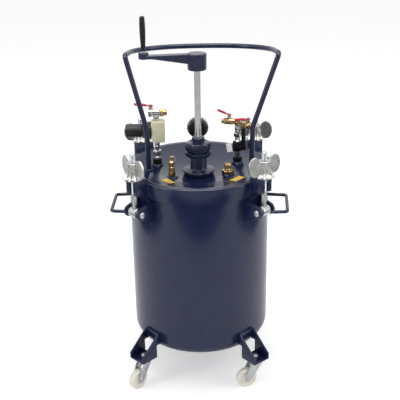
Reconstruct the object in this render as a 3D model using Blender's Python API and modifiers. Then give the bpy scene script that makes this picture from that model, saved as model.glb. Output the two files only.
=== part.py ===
"""Resin pressure pot: a lidded steel tank on casters with a hand-cranked agitator.

Metres, +Z up.  The origin is the centre of the tank's flat bottom and the front is -Y.
Everything that sits on the tank takes its place from the tank's radius and height.
"""

import math

import bmesh
import bpy
from mathutils import Matrix, Vector

# Fits
GAP = 0.0003  # between two pieces that touch
RUN = 0.0005  # radial clearance of a turning fit
SWING_GAP = 0.0008  # lid lug to washer, so a swing bolt can leave its slot

# Facets in a full turn
COARSE, MEDIUM, FINE = 12, 16, 40

# Tank
TANK_RADIUS = 0.200
TANK_HEIGHT = 0.514
TANK_WALL = 0.004
TANK_KNUCKLE = 0.043
RIM_OVERHANG = 0.005  # flange beyond the wall, at the rim
RIM_DEPTH = 0.010

# Lid
GASKET_HEIGHT = 0.0054
GASKET_WIDTH = 0.008
LID_PLATE = 0.005
LID_SKIRT_CLEARANCE = 0.002
LID_SKIRT_DEPTH = 0.043
LID_DISH = 0.033  # how far the middle of the lid lies below its rim
LID_RIM_WIDTH = 0.017
DISH_STEPS = 4
SHAFT_HOLE_CLEARANCE = 0.004
LUG_WIDTH = 0.045
LUG_HEIGHT = 0.040
LUG_RISE = 0.0145  # lug top above the lid's rim
LUG_OVERHANG = 0.011  # beyond the bolt's axis

# Swing bolts and their brackets
CLAMP_ANGLE = math.radians(43.5)  # from the X axis, in each quarter
BOLT_REACH = 0.028  # skirt to bolt axis
BOLT_RADIUS = 0.008
BOLT_TOP = 0.0725  # above the lug
BOLT_EYE_RADIUS = 0.014
BOLT_EYE_WIDTH = 0.028
PIN_RADIUS = 0.007
PIN_HEAD_RADIUS = 0.009
PIN_HEAD = 0.0055
PIN_DROP = 0.037  # pin axis below the skirt's edge
EAR_THICKNESS = 0.007
EAR_SPACING = 0.044
EAR_RADIUS = 0.017
BRACKET_TOP = 0.005  # below the skirt's edge
BRACKET_DROP = 0.037  # wall end below the pin's axis
WEB_THICKNESS = 0.004
WASHER_RADIUS = 0.022
WASHER_THICKNESS = 0.003
NUT_FLANGE_RADIUS = 0.031
NUT_NECK_RADIUS = 0.016
NUT_HEIGHT = 0.045
EAR_REACH = 0.033  # wing centre from the bolt's axis
EAR_HALF_WIDTH = 0.019
EAR_HALF_HEIGHT = 0.027
EAR_RISE = 0.031
WING_THICKNESS = 0.006

# Side handles
HANDLE_ROD = 0.005
HANDLE_HALF_WIDTH = 0.063
HANDLE_SPLAY = 0.007
HANDLE_DROP = 0.077  # below the skirt's edge
LEFT_HANDLE_REACH = 0.0505
RIGHT_HANDLE_REACH = 0.0535

# Legs and casters
LEG_ANGLE = {"front_left": 45, "front_right": 49.7, "back_left": 45, "back_right": 45}  # from the X axis
LEG_INSET = 0.012  # wall to the foot's inner edge
LEG_FOOT = 0.056
LEG_PLATE = 0.004
LEG_DROP = 0.014  # tank bottom to the foot's underside
LEG_TOP = 0.061
LEG_WEB_FOOT = 0.022
STUD_RADIUS = 0.005
NUT_ACROSS = 0.0095
WHEEL_RADIUS = 0.030
WHEEL_WIDTH = 0.022
CASTER_HEIGHT = 0.088
CASTER_TRAIL = 0.027
FORK_HEAD_RADIUS = 0.021
FORK_HEAD_HEIGHT = 0.010
FORK_PLATE = 0.0025
AXLE_RADIUS = 0.0045

# Agitator
SHAFT_RADIUS = 0.009
SHAFT_BOTTOM = 0.045
BOSS_RADIUS = 0.047
BOSS_FOOT_RADIUS = 0.040
BOSS_HEIGHT = 0.015
NECK_RADIUS = 0.023
NECK_HEIGHT = 0.039
HEX_CORNER_RADIUS = 0.0375
LOCK_RING_HEIGHT = 0.014
GLAND_HEIGHT = 0.024
FOLLOWER_RADIUS = 0.017
FOLLOWER_HEIGHT = 0.016
CRANK_LIFT = 0.192  # gland top to the underside of the crank's hub
HUB_HEIGHT = 0.046
HUB_WIDTH = 0.052
CRANK_ARM = 0.145
ARM_WIDTH = 0.026
GRIP_HEIGHT = 0.093
GRIP_RADIUS = 0.008
GRIP_PIN_RADIUS = 0.004
IMPELLER_RADIUS = 0.075
IMPELLER_HUB_RADIUS = 0.016
IMPELLER_HUB_HEIGHT = 0.024

# Hoop handle
HOOP_ROD = 0.0072
HOOP_LEFT_FOOT = -0.142
HOOP_RIGHT_FOOT = 0.151
HOOP_FRONT = -0.005
HOOP_BEND_HEIGHT = 0.108  # above the lid's rim
HOOP_HEIGHT = 0.315
HOOP_TOP_LEFT = -0.198
HOOP_TOP_RIGHT = 0.226
HOOP_BOW = 0.180  # behind the uprights, so the crank turns inside it
HOOP_SINK = 0.013
HOOP_SQUARENESS = 2.3
HOOP_STEPS = 14

# Lid fittings: places on the lid
INLET_PORT = (-0.120, 0.050)
OUTLET_PORT = (0.114, 0.058)
OUTLET_B_OFFSET = (0.0178, 0.003)
GAUGE_PORT = (-0.001, 0.120)
RELIEF_PORT = (-0.076, -0.037)
FILLER_PORT = (0.083, -0.019)
PAD_RADIUS = 0.016
PAD_HEIGHT = 0.004
GAUGE_RADIUS = 0.032
GAUGE_DEPTH = 0.030
GAUGE_WALL = 0.0025
GAUGE_LIFT = 0.038  # lid's rim to the gauge's lowest point
DIP_TUBE_RADIUS = 0.008

# Worked out
LID_UNDERSIDE = TANK_HEIGHT + 2 * GAP + GASKET_HEIGHT
LID_TOP = LID_UNDERSIDE + LID_PLATE
SKIRT_INNER = TANK_RADIUS + RIM_OVERHANG + LID_SKIRT_CLEARANCE
LID_RADIUS = SKIRT_INNER + LID_PLATE
DISH_RADIUS = LID_RADIUS - LID_RIM_WIDTH
SKIRT_EDGE = LID_TOP - LID_SKIRT_DEPTH
BOLT_CIRCLE = LID_RADIUS + BOLT_REACH
LUG_TOP = LID_TOP + LUG_RISE
PIN_Z = SKIRT_EDGE - PIN_DROP
NUT_BASE = LUG_TOP + SWING_GAP + WASHER_THICKNESS + GAP
FLOOR = -LEG_DROP - CASTER_HEIGHT
WHEEL_FACETS = 20
WHEEL_AXIS = FLOOR + WHEEL_RADIUS * math.cos(math.pi / WHEEL_FACETS)
LEG_CENTRE = TANK_RADIUS + LEG_INSET + LEG_FOOT / 2
ARM_BASE = HUB_HEIGHT * 0.6

QUARTERS = {"front_left": (-1, -1), "front_right": (1, -1), "back_left": (-1, 1), "back_right": (1, 1)}
NUT_TURN = {"front_left": 125, "front_right": 34, "back_left": 20, "back_right": 160}
CASTER_TURN = {"front_left": 228, "front_right": 195, "back_left": 118, "back_right": 52}

COLOURS = {
    "navy enamel": ((0.017, 0.024, 0.072), 0.25, 0.0),
    "zinc": ((0.60, 0.61, 0.60), 0.35, 1.0),
    "cast zinc": ((0.52, 0.52, 0.50), 0.45, 1.0),
    "chrome": ((0.75, 0.75, 0.76), 0.12, 1.0),
    "brass": ((0.66, 0.46, 0.20), 0.30, 1.0),
    "ivory enamel": ((0.82, 0.79, 0.60), 0.35, 0.0),
    "black plastic": ((0.015, 0.015, 0.015), 0.40, 0.0),
    "red vinyl": ((0.55, 0.03, 0.06), 0.40, 0.0),
    "white polyurethane": ((0.86, 0.83, 0.76), 0.45, 0.0),
    "tan rubber": ((0.55, 0.38, 0.20), 0.70, 0.0),
}


def start_scene():
    """Empties the scene and makes the two collections."""
    for old in list(bpy.data.objects):
        bpy.data.objects.remove(old, do_unlink=True)
    for name in ("resin_pressure_pot", "cutters"):
        collection = bpy.data.collections.new(name)
        bpy.context.scene.collection.children.link(collection)


def material(name):
    """The named finish, made once."""
    found = bpy.data.materials.get(name)
    if found:
        return found
    colour, roughness, metallic = COLOURS[name]
    made = bpy.data.materials.new(name)
    made.use_nodes = True
    shader = made.node_tree.nodes["Principled BSDF"]
    shader.inputs["Base Color"].default_value = (*colour, 1)
    shader.inputs["Roughness"].default_value = roughness
    shader.inputs["Metallic"].default_value = metallic
    return made


def link(obj, finish=None):
    """Puts an object in the model with its finish, or among the cutters with none."""
    for collection in list(obj.users_collection):
        collection.objects.unlink(obj)
    if finish:
        bpy.data.collections["resin_pressure_pot"].objects.link(obj)
        obj.data.materials.append(material(finish))
    else:
        bpy.data.collections["cutters"].objects.link(obj)
        obj.hide_render = True
        obj.display_type = "WIRE"
    return obj


def place(obj, at=(0, 0, 0), turn=(0, 0, 0)):
    """Sets an object's place, and its turn in radians."""
    obj.location = at
    obj.rotation_euler = turn
    return obj


def smooth(obj, angle=35):
    """Smooth shading that keeps the real edges."""
    obj.data.shade_smooth()
    obj.data.set_sharp_from_angle(angle=math.radians(angle))
    return obj


def turned(name, profile, finish=None, facets=MEDIUM, ring=False):
    """A turned piece about local Z: (radius, height) points down the outer side, top to bottom."""
    mesh = bpy.data.meshes.new(name)
    corners = [(radius, 0, height) for radius, height in profile]
    sides = [(i, i + 1) for i in range(len(corners) - 1)]
    if ring:
        sides.append((len(corners) - 1, 0))
    mesh.from_pydata(corners, sides, [])
    obj = link(bpy.data.objects.new(name, mesh), finish)
    screw = obj.modifiers.new("Turn", "SCREW")
    screw.steps = screw.render_steps = facets
    screw.use_merge_vertices = True
    screw.merge_threshold = 0.00001
    screw.use_smooth_shade = True
    return obj


def tube_ring(name, outer, inner, bottom, top, finish=None, facets=MEDIUM):
    """A plain ring or bush about local Z."""
    profile = [(outer, top), (outer, bottom), (inner, bottom), (inner, top)]
    return turned(name, profile, finish, facets, ring=True)


def cylinder(name, radius, bottom, top, finish=None, facets=MEDIUM, radius_top=None):
    """A closed round bar about local Z, from bottom to top."""
    mesh = bpy.data.meshes.new(name)
    made = bmesh.new()
    upper = radius if radius_top is None else radius_top
    middle = Matrix.Translation((0, 0, (bottom + top) / 2))
    bmesh.ops.create_cone(made, cap_ends=True, segments=facets, radius1=radius, radius2=upper,
                          depth=top - bottom, matrix=middle)
    made.to_mesh(mesh)
    made.free()
    return smooth(link(bpy.data.objects.new(name, mesh), finish))


def box(name, low, high, finish=None):
    """A box between two corners."""
    mesh = bpy.data.meshes.new(name)
    made = bmesh.new()
    size = Vector(high) - Vector(low)
    middle = (Vector(high) + Vector(low)) / 2
    shape = Matrix.Translation(middle) @ Matrix.Diagonal((*size, 1))
    bmesh.ops.create_cube(made, size=1, matrix=shape)
    made.to_mesh(mesh)
    made.free()
    return link(bpy.data.objects.new(name, mesh), finish)


def meshed(curve, finish):
    """A curve object made a mesh with welded caps."""
    seen = curve.evaluated_get(bpy.context.evaluated_depsgraph_get())
    mesh = bpy.data.meshes.new_from_object(seen)
    made = bmesh.new()
    made.from_mesh(mesh)
    bmesh.ops.remove_doubles(made, verts=made.verts, dist=0.000001)
    made.to_mesh(mesh)
    made.free()
    mesh.materials.clear()
    name = curve.name
    bpy.data.objects.remove(curve)
    mesh.name = name
    return link(bpy.data.objects.new(name, mesh), finish)


def curve_of(name, loops, closed, dimensions):
    """A curve object with one poly spline for each loop of points."""
    data = bpy.data.curves.new(name, "CURVE")
    data.dimensions = dimensions
    for loop in loops:
        spline = data.splines.new("POLY")
        spline.points.add(len(loop) - 1)
        for point, corner in zip(spline.points, loop):
            point.co = (*corner, *([0] * (3 - len(corner))), 1)
        spline.use_cyclic_u = closed
    obj = bpy.data.objects.new(name, data)
    bpy.context.scene.collection.objects.link(obj)
    return obj


def plate(name, loops, thickness, finish=None, upright=False):
    """A flat outline with holes, centred on its own plane; upright stands it in local XZ."""
    obj = curve_of(name, loops, True, "2D")
    obj.data.fill_mode = "BOTH"
    obj.data.extrude = thickness / 2
    obj = meshed(obj, finish)
    if upright:
        obj.data.transform(Matrix.Rotation(math.pi / 2, 4, "X"))
    return obj


def rod(name, path, radius, finish=None, resolution=2):
    """A round bar along a path of points."""
    obj = curve_of(name, [path], False, "3D")
    obj.data.bevel_depth = radius
    obj.data.bevel_resolution = resolution
    obj.data.use_fill_caps = True
    return smooth(meshed(obj, finish), 50)


def combine(obj, tool, operation):
    """A Boolean of a piece with a cutter or a joined shape."""
    change = obj.modifiers.new(f"{operation.title()} {tool.name}", "BOOLEAN")
    change.operation = operation
    change.solver = "EXACT"
    change.object = tool
    return obj


def join(obj, *tools):
    """Welds shapes to a piece."""
    for tool in tools:
        combine(obj, tool, "UNION")
    return obj


def cut(obj, *tools):
    """Cuts shapes out of a piece."""
    for tool in tools:
        combine(obj, tool, "DIFFERENCE")
    return obj


def arc(centre, radius, start, end, steps):
    """Points on an arc, angles in degrees."""
    points = []
    for i in range(steps + 1):
        angle = math.radians(start + (end - start) * i / steps)
        points.append((centre[0] + radius * math.cos(angle), centre[1] + radius * math.sin(angle)))
    return points


def circle(centre, radius, facets=COARSE):
    """A closed loop of points round a centre."""
    return arc(centre, radius, 0, 360 - 360 / facets, facets - 1)


def rounded(path, radius, steps=4):
    """A path of 3D points with each inner corner rounded to the radius."""
    points = [Vector(corner) for corner in path]
    result = [points[0]]
    for before, corner, after in zip(points, points[1:], points[2:]):
        back = (before - corner).normalized()
        ahead = (after - corner).normalized()
        half = back.angle(ahead) / 2
        reach = radius / math.tan(half)
        start, end = corner + back * reach, corner + ahead * reach
        for i in range(steps + 1):
            t = i / steps
            result.append(start * (1 - t) ** 2 + corner * 2 * t * (1 - t) + end * t ** 2)
    result.append(points[-1])
    return [tuple(point) for point in result]


def lid_rings():
    """Radius and height of the rings that the dished top is made of, flat under the boss."""
    radii = [BOSS_RADIUS + (DISH_RADIUS - BOSS_RADIUS) * i / DISH_STEPS for i in range(DISH_STEPS + 1)]
    rings = [(r, LID_TOP - LID_DISH * (1 - (r / DISH_RADIUS) ** 2)) for r in radii]
    return [(SHAFT_RADIUS + SHAFT_HOLE_CLEARANCE, rings[0][1])] + rings


def lid_surface(radius):
    """Height of the lid's dished top at a radius."""
    rings = lid_rings()
    for (r1, z1), (r2, z2) in zip(rings, rings[1:]):
        if radius <= r2:
            return z1 + (z2 - z1) * max(0, radius - r1) / (r2 - r1)
    return LID_TOP


def pad_top(port):
    """Height of the flat pad that is welded round a port in the lid."""
    return lid_surface(math.hypot(*port)) + PAD_HEIGHT


def quarter_angle(quarter, angle):
    """Direction of a quarter's bolt or leg, from the angle in the first quarter."""
    x, y = QUARTERS[quarter]
    return math.atan2(y * math.sin(angle), x * math.cos(angle))


def polar(radius, angle, height=0.0):
    return Vector((radius * math.cos(angle), radius * math.sin(angle), height))


def tank_profile():
    """Inner middle, up the inside, over the rim and down the outside to the outer middle."""
    turn = TANK_RADIUS - TANK_KNUCKLE
    inside = arc((turn, TANK_KNUCKLE), TANK_KNUCKLE - TANK_WALL, -90, 0, 4)
    outside = arc((turn, TANK_KNUCKLE), TANK_KNUCKLE, 0, -90, 4)
    bore, rim = TANK_RADIUS - TANK_WALL, TANK_RADIUS + RIM_OVERHANG
    under_rim = TANK_HEIGHT - RIM_DEPTH
    edge = [(bore, TANK_HEIGHT), (rim, TANK_HEIGHT), (rim, under_rim),
            (TANK_RADIUS, under_rim - RIM_OVERHANG)]
    return [(0, TANK_WALL)] + inside + edge + outside + [(0, 0)]


def tank_envelope():
    """Guide a gap larger than the tank, which trims what is welded to its wall."""
    turn = TANK_RADIUS - TANK_KNUCKLE
    outside = arc((turn, TANK_KNUCKLE), TANK_KNUCKLE + GAP, 0, -90, 4)
    profile = [(0, TANK_HEIGHT), (TANK_RADIUS + GAP, TANK_HEIGHT)] + outside + [(0, -GAP)]
    return turned("tank_envelope", profile, None, FINE)


def build_tank():
    turned("tank", tank_profile(), "navy enamel", FINE)
    middle = TANK_RADIUS + (RIM_OVERHANG - TANK_WALL) / 2
    low = TANK_HEIGHT + GAP
    tube_ring("lid_gasket", middle + GASKET_WIDTH / 2, middle - GASKET_WIDTH / 2, low,
              low + GASKET_HEIGHT, "tan rubber", FINE)


def leg_outline():
    """Side of a leg bracket: foot, sloping outer edge and the wall end, radius by height."""
    inner = TANK_RADIUS + LEG_INSET
    outer = inner + LEG_FOOT
    wall = TANK_RADIUS - TANK_KNUCKLE / 3
    return [(inner, -LEG_DROP), (outer - 0.006, -LEG_DROP), (outer, -LEG_DROP + 0.006),
            (outer, 0.005), (TANK_RADIUS + WEB_THICKNESS + GAP, LEG_TOP), (wall, LEG_TOP),
            (wall, LEG_WEB_FOOT), (inner, LEG_WEB_FOOT + 0.004)]


def build_leg(quarter, envelope):
    """U-shaped bracket with the caster's stud and nut in its foot."""
    angle = quarter_angle(quarter, math.radians(LEG_ANGLE[quarter]))
    leg = plate(f"leg_bracket_{quarter}", [leg_outline()], LEG_FOOT, "navy enamel", upright=True)
    place(leg, turn=(0, 0, angle))
    reach = LEG_FOOT / 2 - LEG_PLATE
    hollow = box(f"leg_hollow_{quarter}",
                 (TANK_RADIUS + WEB_THICKNESS + GAP, -reach, -LEG_DROP + LEG_PLATE),
                 (TANK_RADIUS + 2 * LEG_FOOT, reach, LEG_TOP + LEG_FOOT))
    place(hollow, turn=(0, 0, angle))
    centre = polar(LEG_CENTRE, angle)
    foot_top = LEG_PLATE - LEG_DROP
    stud_end = -LEG_DROP - FORK_HEAD_HEIGHT + 0.001
    stud = place(cylinder(f"caster_stud_{quarter}", STUD_RADIUS, stud_end, foot_top + 0.012,
                          facets=COARSE), centre)
    nut = place(cylinder(f"caster_nut_{quarter}", NUT_ACROSS, foot_top - 0.001, foot_top + 0.008,
                         facets=6), centre)
    join(cut(leg, hollow, envelope), stud, nut)


def build_caster(quarter):
    """Fork that swivels round the stud, and the wheel on its riveted axle."""
    at = polar(LEG_CENTRE, quarter_angle(quarter, math.radians(LEG_ANGLE[quarter])))
    turn = math.radians(CASTER_TURN[quarter])
    head_top = -LEG_DROP - GAP
    fork = tube_ring(f"caster_fork_{quarter}", FORK_HEAD_RADIUS, STUD_RADIUS + RUN,
                     head_top - FORK_HEAD_HEIGHT, head_top, "zinc", MEDIUM)
    place(fork, at, (0, 0, turn))
    inside = WHEEL_WIDTH / 2 + 0.0015
    cheek_top = head_top - FORK_HEAD_HEIGHT / 2
    outline = [(-0.016, cheek_top), (0.016, cheek_top)]
    outline += arc((CASTER_TRAIL, WHEEL_AXIS), 0.010, 30, -150, 5)
    tip = at + polar(CASTER_TRAIL, turn, WHEEL_AXIS)
    for side in (-1, 1):
        cheek = plate(f"fork_cheek_{quarter}_{side}", [outline], FORK_PLATE, upright=True)
        shift = polar(side * (inside + FORK_PLATE / 2), turn + math.pi / 2)
        join(fork, place(cheek, at + shift, (0, 0, turn)))
    half = inside + FORK_PLATE + 0.003
    axle = cylinder(f"fork_axle_{quarter}", AXLE_RADIUS, -half, half, facets=COARSE)
    join(fork, place(axle, tip, (math.pi / 2, 0, turn)))
    build_wheel(quarter, tip, turn)


def build_wheel(quarter, at, turn):
    half = WHEEL_WIDTH / 2
    bore = AXLE_RADIUS + RUN
    side = [(bore, half), (0.024, half - 0.002), (0.027, half - 0.0005), (WHEEL_RADIUS, half - 0.005)]
    profile = side + [(radius, -height) for radius, height in reversed(side)]
    wheel = turned(f"caster_wheel_{quarter}", profile, "white polyurethane", WHEEL_FACETS, ring=True)
    flat_down = Matrix.Rotation(math.pi / 2 + math.pi / WHEEL_FACETS, 4, "Z")
    wheel.data.transform(flat_down)
    place(wheel, at, (math.pi / 2, 0, turn))


def bracket_outline():
    """Side of a clamp bracket, with an arc round the pin."""
    top = SKIRT_EDGE - BRACKET_TOP
    wall = TANK_RADIUS - WEB_THICKNESS
    nose = arc((BOLT_CIRCLE, PIN_Z), EAR_RADIUS, 75, -50, 5)
    return [(wall, PIN_Z - BRACKET_DROP), *reversed(nose), (wall, top)]


def build_clamp_bracket(quarter, envelope):
    """Two ears on a web against the tank's wall, and the clevis pin through the ears."""
    angle = quarter_angle(quarter, CLAMP_ANGLE)
    hole = circle((BOLT_CIRCLE, PIN_Z), PIN_RADIUS + GAP)
    width = EAR_SPACING + 2 * EAR_THICKNESS
    bracket = plate(f"clamp_bracket_{quarter}", [bracket_outline(), hole], width, "navy enamel",
                    upright=True)
    place(bracket, turn=(0, 0, angle))
    half = EAR_SPACING / 2
    slot = box(f"clamp_slot_{quarter}",
               (TANK_RADIUS + WEB_THICKNESS, -half, PIN_Z - 2 * BRACKET_DROP),
               (BOLT_CIRCLE + 2 * EAR_RADIUS, half, SKIRT_EDGE))
    cut(bracket, place(slot, turn=(0, 0, angle)), envelope)
    outer, inner = width / 2 + GAP + PIN_HEAD, width / 2 + GAP
    half_pin = [(PIN_HEAD_RADIUS, outer), (PIN_HEAD_RADIUS, inner), (PIN_RADIUS, inner)]
    profile = [(0, outer)] + half_pin + [(r, -h) for r, h in reversed(half_pin)] + [(0, -outer)]
    pin = turned(f"clevis_pin_{quarter}", profile, "zinc", COARSE)
    place(pin, polar(BOLT_CIRCLE, angle, PIN_Z), (math.pi / 2, 0, angle))


def build_swing_bolt(quarter):
    """Threaded bar on a cross sleeve that hangs on the pin; its origin is on the pin's axis."""
    angle = quarter_angle(quarter, CLAMP_ANGLE)
    at = polar(BOLT_CIRCLE, angle, PIN_Z)
    bolt = cylinder(f"swing_bolt_{quarter}", BOLT_RADIUS, PIN_RADIUS + 0.003,
                    LUG_TOP + BOLT_TOP - PIN_Z, "zinc", MEDIUM)
    half = BOLT_EYE_WIDTH / 2
    eye = tube_ring(f"bolt_eye_{quarter}", BOLT_EYE_RADIUS, PIN_RADIUS + RUN, -half, half)
    place(bolt, at, (0, 0, angle))
    join(bolt, place(eye, at, (math.pi / 2, 0, angle)))


def build_wing_nut(quarter):
    """Washer and cast wing nut on a swing bolt; their origins are on the bolt's axis."""
    angle = quarter_angle(quarter, CLAMP_ANGLE)
    at = polar(BOLT_CIRCLE, angle, NUT_BASE)
    bore = BOLT_RADIUS + RUN
    washer = tube_ring(f"bolt_washer_{quarter}", WASHER_RADIUS, bore, -WASHER_THICKNESS - GAP, -GAP,
                       "zinc", MEDIUM)
    place(washer, at)
    flange, neck, top = NUT_FLANGE_RADIUS, NUT_NECK_RADIUS, NUT_HEIGHT
    profile = [(neck, top), (neck + 0.001, top * 0.45), (flange * 0.76, top * 0.16),
               (flange, 0.003), (flange, 0), (bore, 0), (bore, top)]
    nut = turned(f"wing_nut_{quarter}", profile, "cast zinc", MEDIUM, ring=True)
    turn = math.radians(NUT_TURN[quarter])
    place(nut, at, (0, 0, turn))
    for side in (-1, 1):
        loop = [(side * EAR_REACH + x * EAR_HALF_WIDTH, EAR_RISE + z * EAR_HALF_HEIGHT)
                for x, z in circle((0, 0), 1)]
        ear = plate(f"nut_wing_{quarter}_{side}", [loop], WING_THICKNESS, upright=True)
        join(nut, place(ear, at, (0, 0, turn)))


def build_side_handle(name, reach, angle, envelope):
    """U-shaped bar whose ends are welded to the tank's wall."""
    outer = TANK_RADIUS + reach
    half = HANDLE_HALF_WIDTH
    at_wall = half + HANDLE_SPLAY
    inner = TANK_RADIUS - at_wall ** 2 / (2 * TANK_RADIUS) - HANDLE_ROD
    height = SKIRT_EDGE - HANDLE_DROP
    corners = [(inner, -at_wall, height), (outer, -half, height), (outer, half, height),
               (inner, at_wall, height)]
    handle = rod(name, rounded(corners, 0.010, 3), HANDLE_ROD, "navy enamel")
    cut(place(handle, turn=(0, 0, angle)), envelope)


def lid_profile():
    """Closed section of the lid: the dished plate with a hole for the shaft, rim and skirt."""
    top = lid_rings()
    rim = [(LID_RADIUS - 0.004, LID_TOP), (LID_RADIUS, LID_TOP - 0.004), (LID_RADIUS, SKIRT_EDGE),
           (SKIRT_INNER, SKIRT_EDGE), (SKIRT_INNER, LID_UNDERSIDE)]
    under = [(radius, height - LID_PLATE) for radius, height in reversed(top)]
    return top + rim + under


def build_lid():
    """Lid with four fork lugs and the welded pads round its ports."""
    lid = turned("lid", lid_profile(), "navy enamel", FINE, ring=True)
    for quarter in QUARTERS:
        angle = quarter_angle(quarter, CLAMP_ANGLE)
        root = LID_RADIUS - LID_PLATE * 0.7
        tip = BOLT_CIRCLE + LUG_OVERHANG
        slot_half = BOLT_RADIUS + RUN
        half = LUG_WIDTH / 2
        bottom_of_slot = arc((BOLT_CIRCLE, 0), slot_half + GAP, 90, 270, 6)
        outline = [(root, -half), (tip, -half), (tip, -slot_half - GAP), *reversed(bottom_of_slot),
                   (tip, slot_half + GAP), (tip, half), (root, half)]
        lug = plate(f"lid_lug_{quarter}", [outline], LUG_HEIGHT)
        place(lug, (0, 0, LUG_TOP - LUG_HEIGHT / 2), (0, 0, angle))
        join(lid, lug)
    for number, port in enumerate((INLET_PORT, OUTLET_PORT, GAUGE_PORT, RELIEF_PORT, FILLER_PORT)):
        top = pad_top(port)
        radius = math.hypot(*port)
        pad = cylinder(f"port_pad_{number}", PAD_RADIUS, lid_surface(radius) - LID_PLATE / 2, top,
                       facets=COARSE)
        join(lid, place(pad, (*port, 0)))


def build_boss():
    """Turned boss on the middle of the lid, its lock ring, and the gland nut with its follower."""
    low = lid_surface(BOSS_FOOT_RADIUS) + GAP
    shoulder = low + BOSS_HEIGHT
    neck_top = shoulder + NECK_HEIGHT
    bore = SHAFT_RADIUS + RUN
    profile = [(NECK_RADIUS, neck_top + LOCK_RING_HEIGHT), (NECK_RADIUS, shoulder),
               (BOSS_RADIUS, shoulder), (BOSS_FOOT_RADIUS, low), (bore, low),
               (bore, neck_top + LOCK_RING_HEIGHT)]
    boss = turned("agitator_boss", profile, "navy enamel", MEDIUM, ring=True)
    hexagon = circle((0, 0), HEX_CORNER_RADIUS, 6)
    hole = circle((0, 0), NECK_RADIUS - 0.003)
    ring = plate("lock_ring", [hexagon, hole], LOCK_RING_HEIGHT - 0.001)
    turn = math.radians(8)
    join(boss, place(ring, (0, 0, neck_top + LOCK_RING_HEIGHT / 2), (0, 0, turn)))
    base = neck_top + LOCK_RING_HEIGHT + GAP
    top = base + 0.002 + GLAND_HEIGHT
    profile = [(FOLLOWER_RADIUS, top + FOLLOWER_HEIGHT), (FOLLOWER_RADIUS, top - 0.004),
               (NECK_RADIUS, top - 0.004), (NECK_RADIUS, base), (bore, base),
               (bore, top + FOLLOWER_HEIGHT)]
    gland = turned("gland_nut", profile, "navy enamel", MEDIUM, ring=True)
    nut = plate("gland_hexagon", [hexagon, hole], GLAND_HEIGHT)
    join(gland, place(nut, (0, 0, top - GLAND_HEIGHT / 2), (0, 0, turn)))
    return top + FOLLOWER_HEIGHT


def build_agitator(gland_top):
    """Shaft with impeller, crank arm and grip; all but the grip turn together."""
    hub_low = gland_top + CRANK_LIFT
    hub_top = hub_low + HUB_HEIGHT
    cylinder("agitator_shaft", SHAFT_RADIUS, SHAFT_BOTTOM, hub_top - 0.006, "chrome", MEDIUM)
    outer = HUB_WIDTH / 2
    hub = cylinder("crank_arm", outer * 0.98, hub_low, hub_top, "navy enamel", MEDIUM, outer * 1.04)
    arm_top = hub_top - 0.001
    low_at_hub, low_at_tip = hub_top - ARM_BASE, hub_top - 0.013
    side = [(0, arm_top), (-CRANK_ARM, arm_top - 0.004), (-CRANK_ARM, low_at_tip),
            (-CRANK_ARM * 0.82, low_at_tip), (-outer, low_at_hub), (0, low_at_hub)]
    arm = plate("crank_bar", [side], ARM_WIDTH, upright=True)
    end_top = hub_top + 0.004
    end = cylinder("crank_end", ARM_WIDTH / 2 + 0.001, low_at_tip - 0.001, end_top, facets=MEDIUM)
    grip_low = end_top + 0.004
    pin_top = grip_low + GRIP_HEIGHT - 0.010
    pin = cylinder("grip_pin", GRIP_PIN_RADIUS, low_at_tip, pin_top, facets=COARSE)
    tip = (-CRANK_ARM, 0, 0)
    join(hub, arm, place(end, tip), place(pin, tip))
    cut(hub, cylinder("crank_bore", SHAFT_RADIUS + GAP, hub_low - 0.01, hub_top - 0.006 + GAP))
    build_grip(tip, grip_low, pin_top)
    build_impeller()


def build_grip(tip, low, pin_top):
    """Barrel-shaped grip, closed at its top, that turns on the pin."""
    bore = GRIP_PIN_RADIUS + RUN
    top = low + GRIP_HEIGHT
    profile = [(0, top), (GRIP_RADIUS * 0.7, top), (GRIP_RADIUS * 0.9, top - 0.004),
               (GRIP_RADIUS, low + GRIP_HEIGHT * 0.6), (GRIP_RADIUS * 0.76, low + 0.004),
               (GRIP_RADIUS * 0.76, low), (bore, low), (bore, pin_top + 0.002), (0, pin_top + 0.002)]
    place(turned("crank_grip", profile, "chrome", COARSE), tip)


def build_impeller():
    """Hub near the shaft's foot with three pitched blades."""
    low = SHAFT_BOTTOM + 0.006
    hub = tube_ring("impeller", IMPELLER_HUB_RADIUS, SHAFT_RADIUS + GAP, low,
                    low + IMPELLER_HUB_HEIGHT, "chrome", MEDIUM)
    for number in range(3):
        blade = box(f"impeller_blade_{number}", (SHAFT_RADIUS + 0.004, -0.011, -0.0015),
                    (IMPELLER_RADIUS, 0.011, 0.0015))
        turn = (math.radians(40), 0, math.radians(120 * number))
        join(hub, place(blade, (0, 0, low + IMPELLER_HUB_HEIGHT / 2), turn))


def hoop_bow():
    """Plan of the hoop's top bar: a squarish half ellipse that clears the turning crank."""
    middle = (HOOP_TOP_LEFT + HOOP_TOP_RIGHT) / 2
    half = (HOOP_TOP_RIGHT - HOOP_TOP_LEFT) / 2
    power = 2 / HOOP_SQUARENESS
    points = []
    for i in range(HOOP_STEPS + 1):
        angle = math.pi * (1 - i / HOOP_STEPS)
        across = math.copysign(abs(math.cos(angle)) ** power, math.cos(angle))
        points.append((middle + half * across, HOOP_BOW * abs(math.sin(angle)) ** power))
    return points


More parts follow.
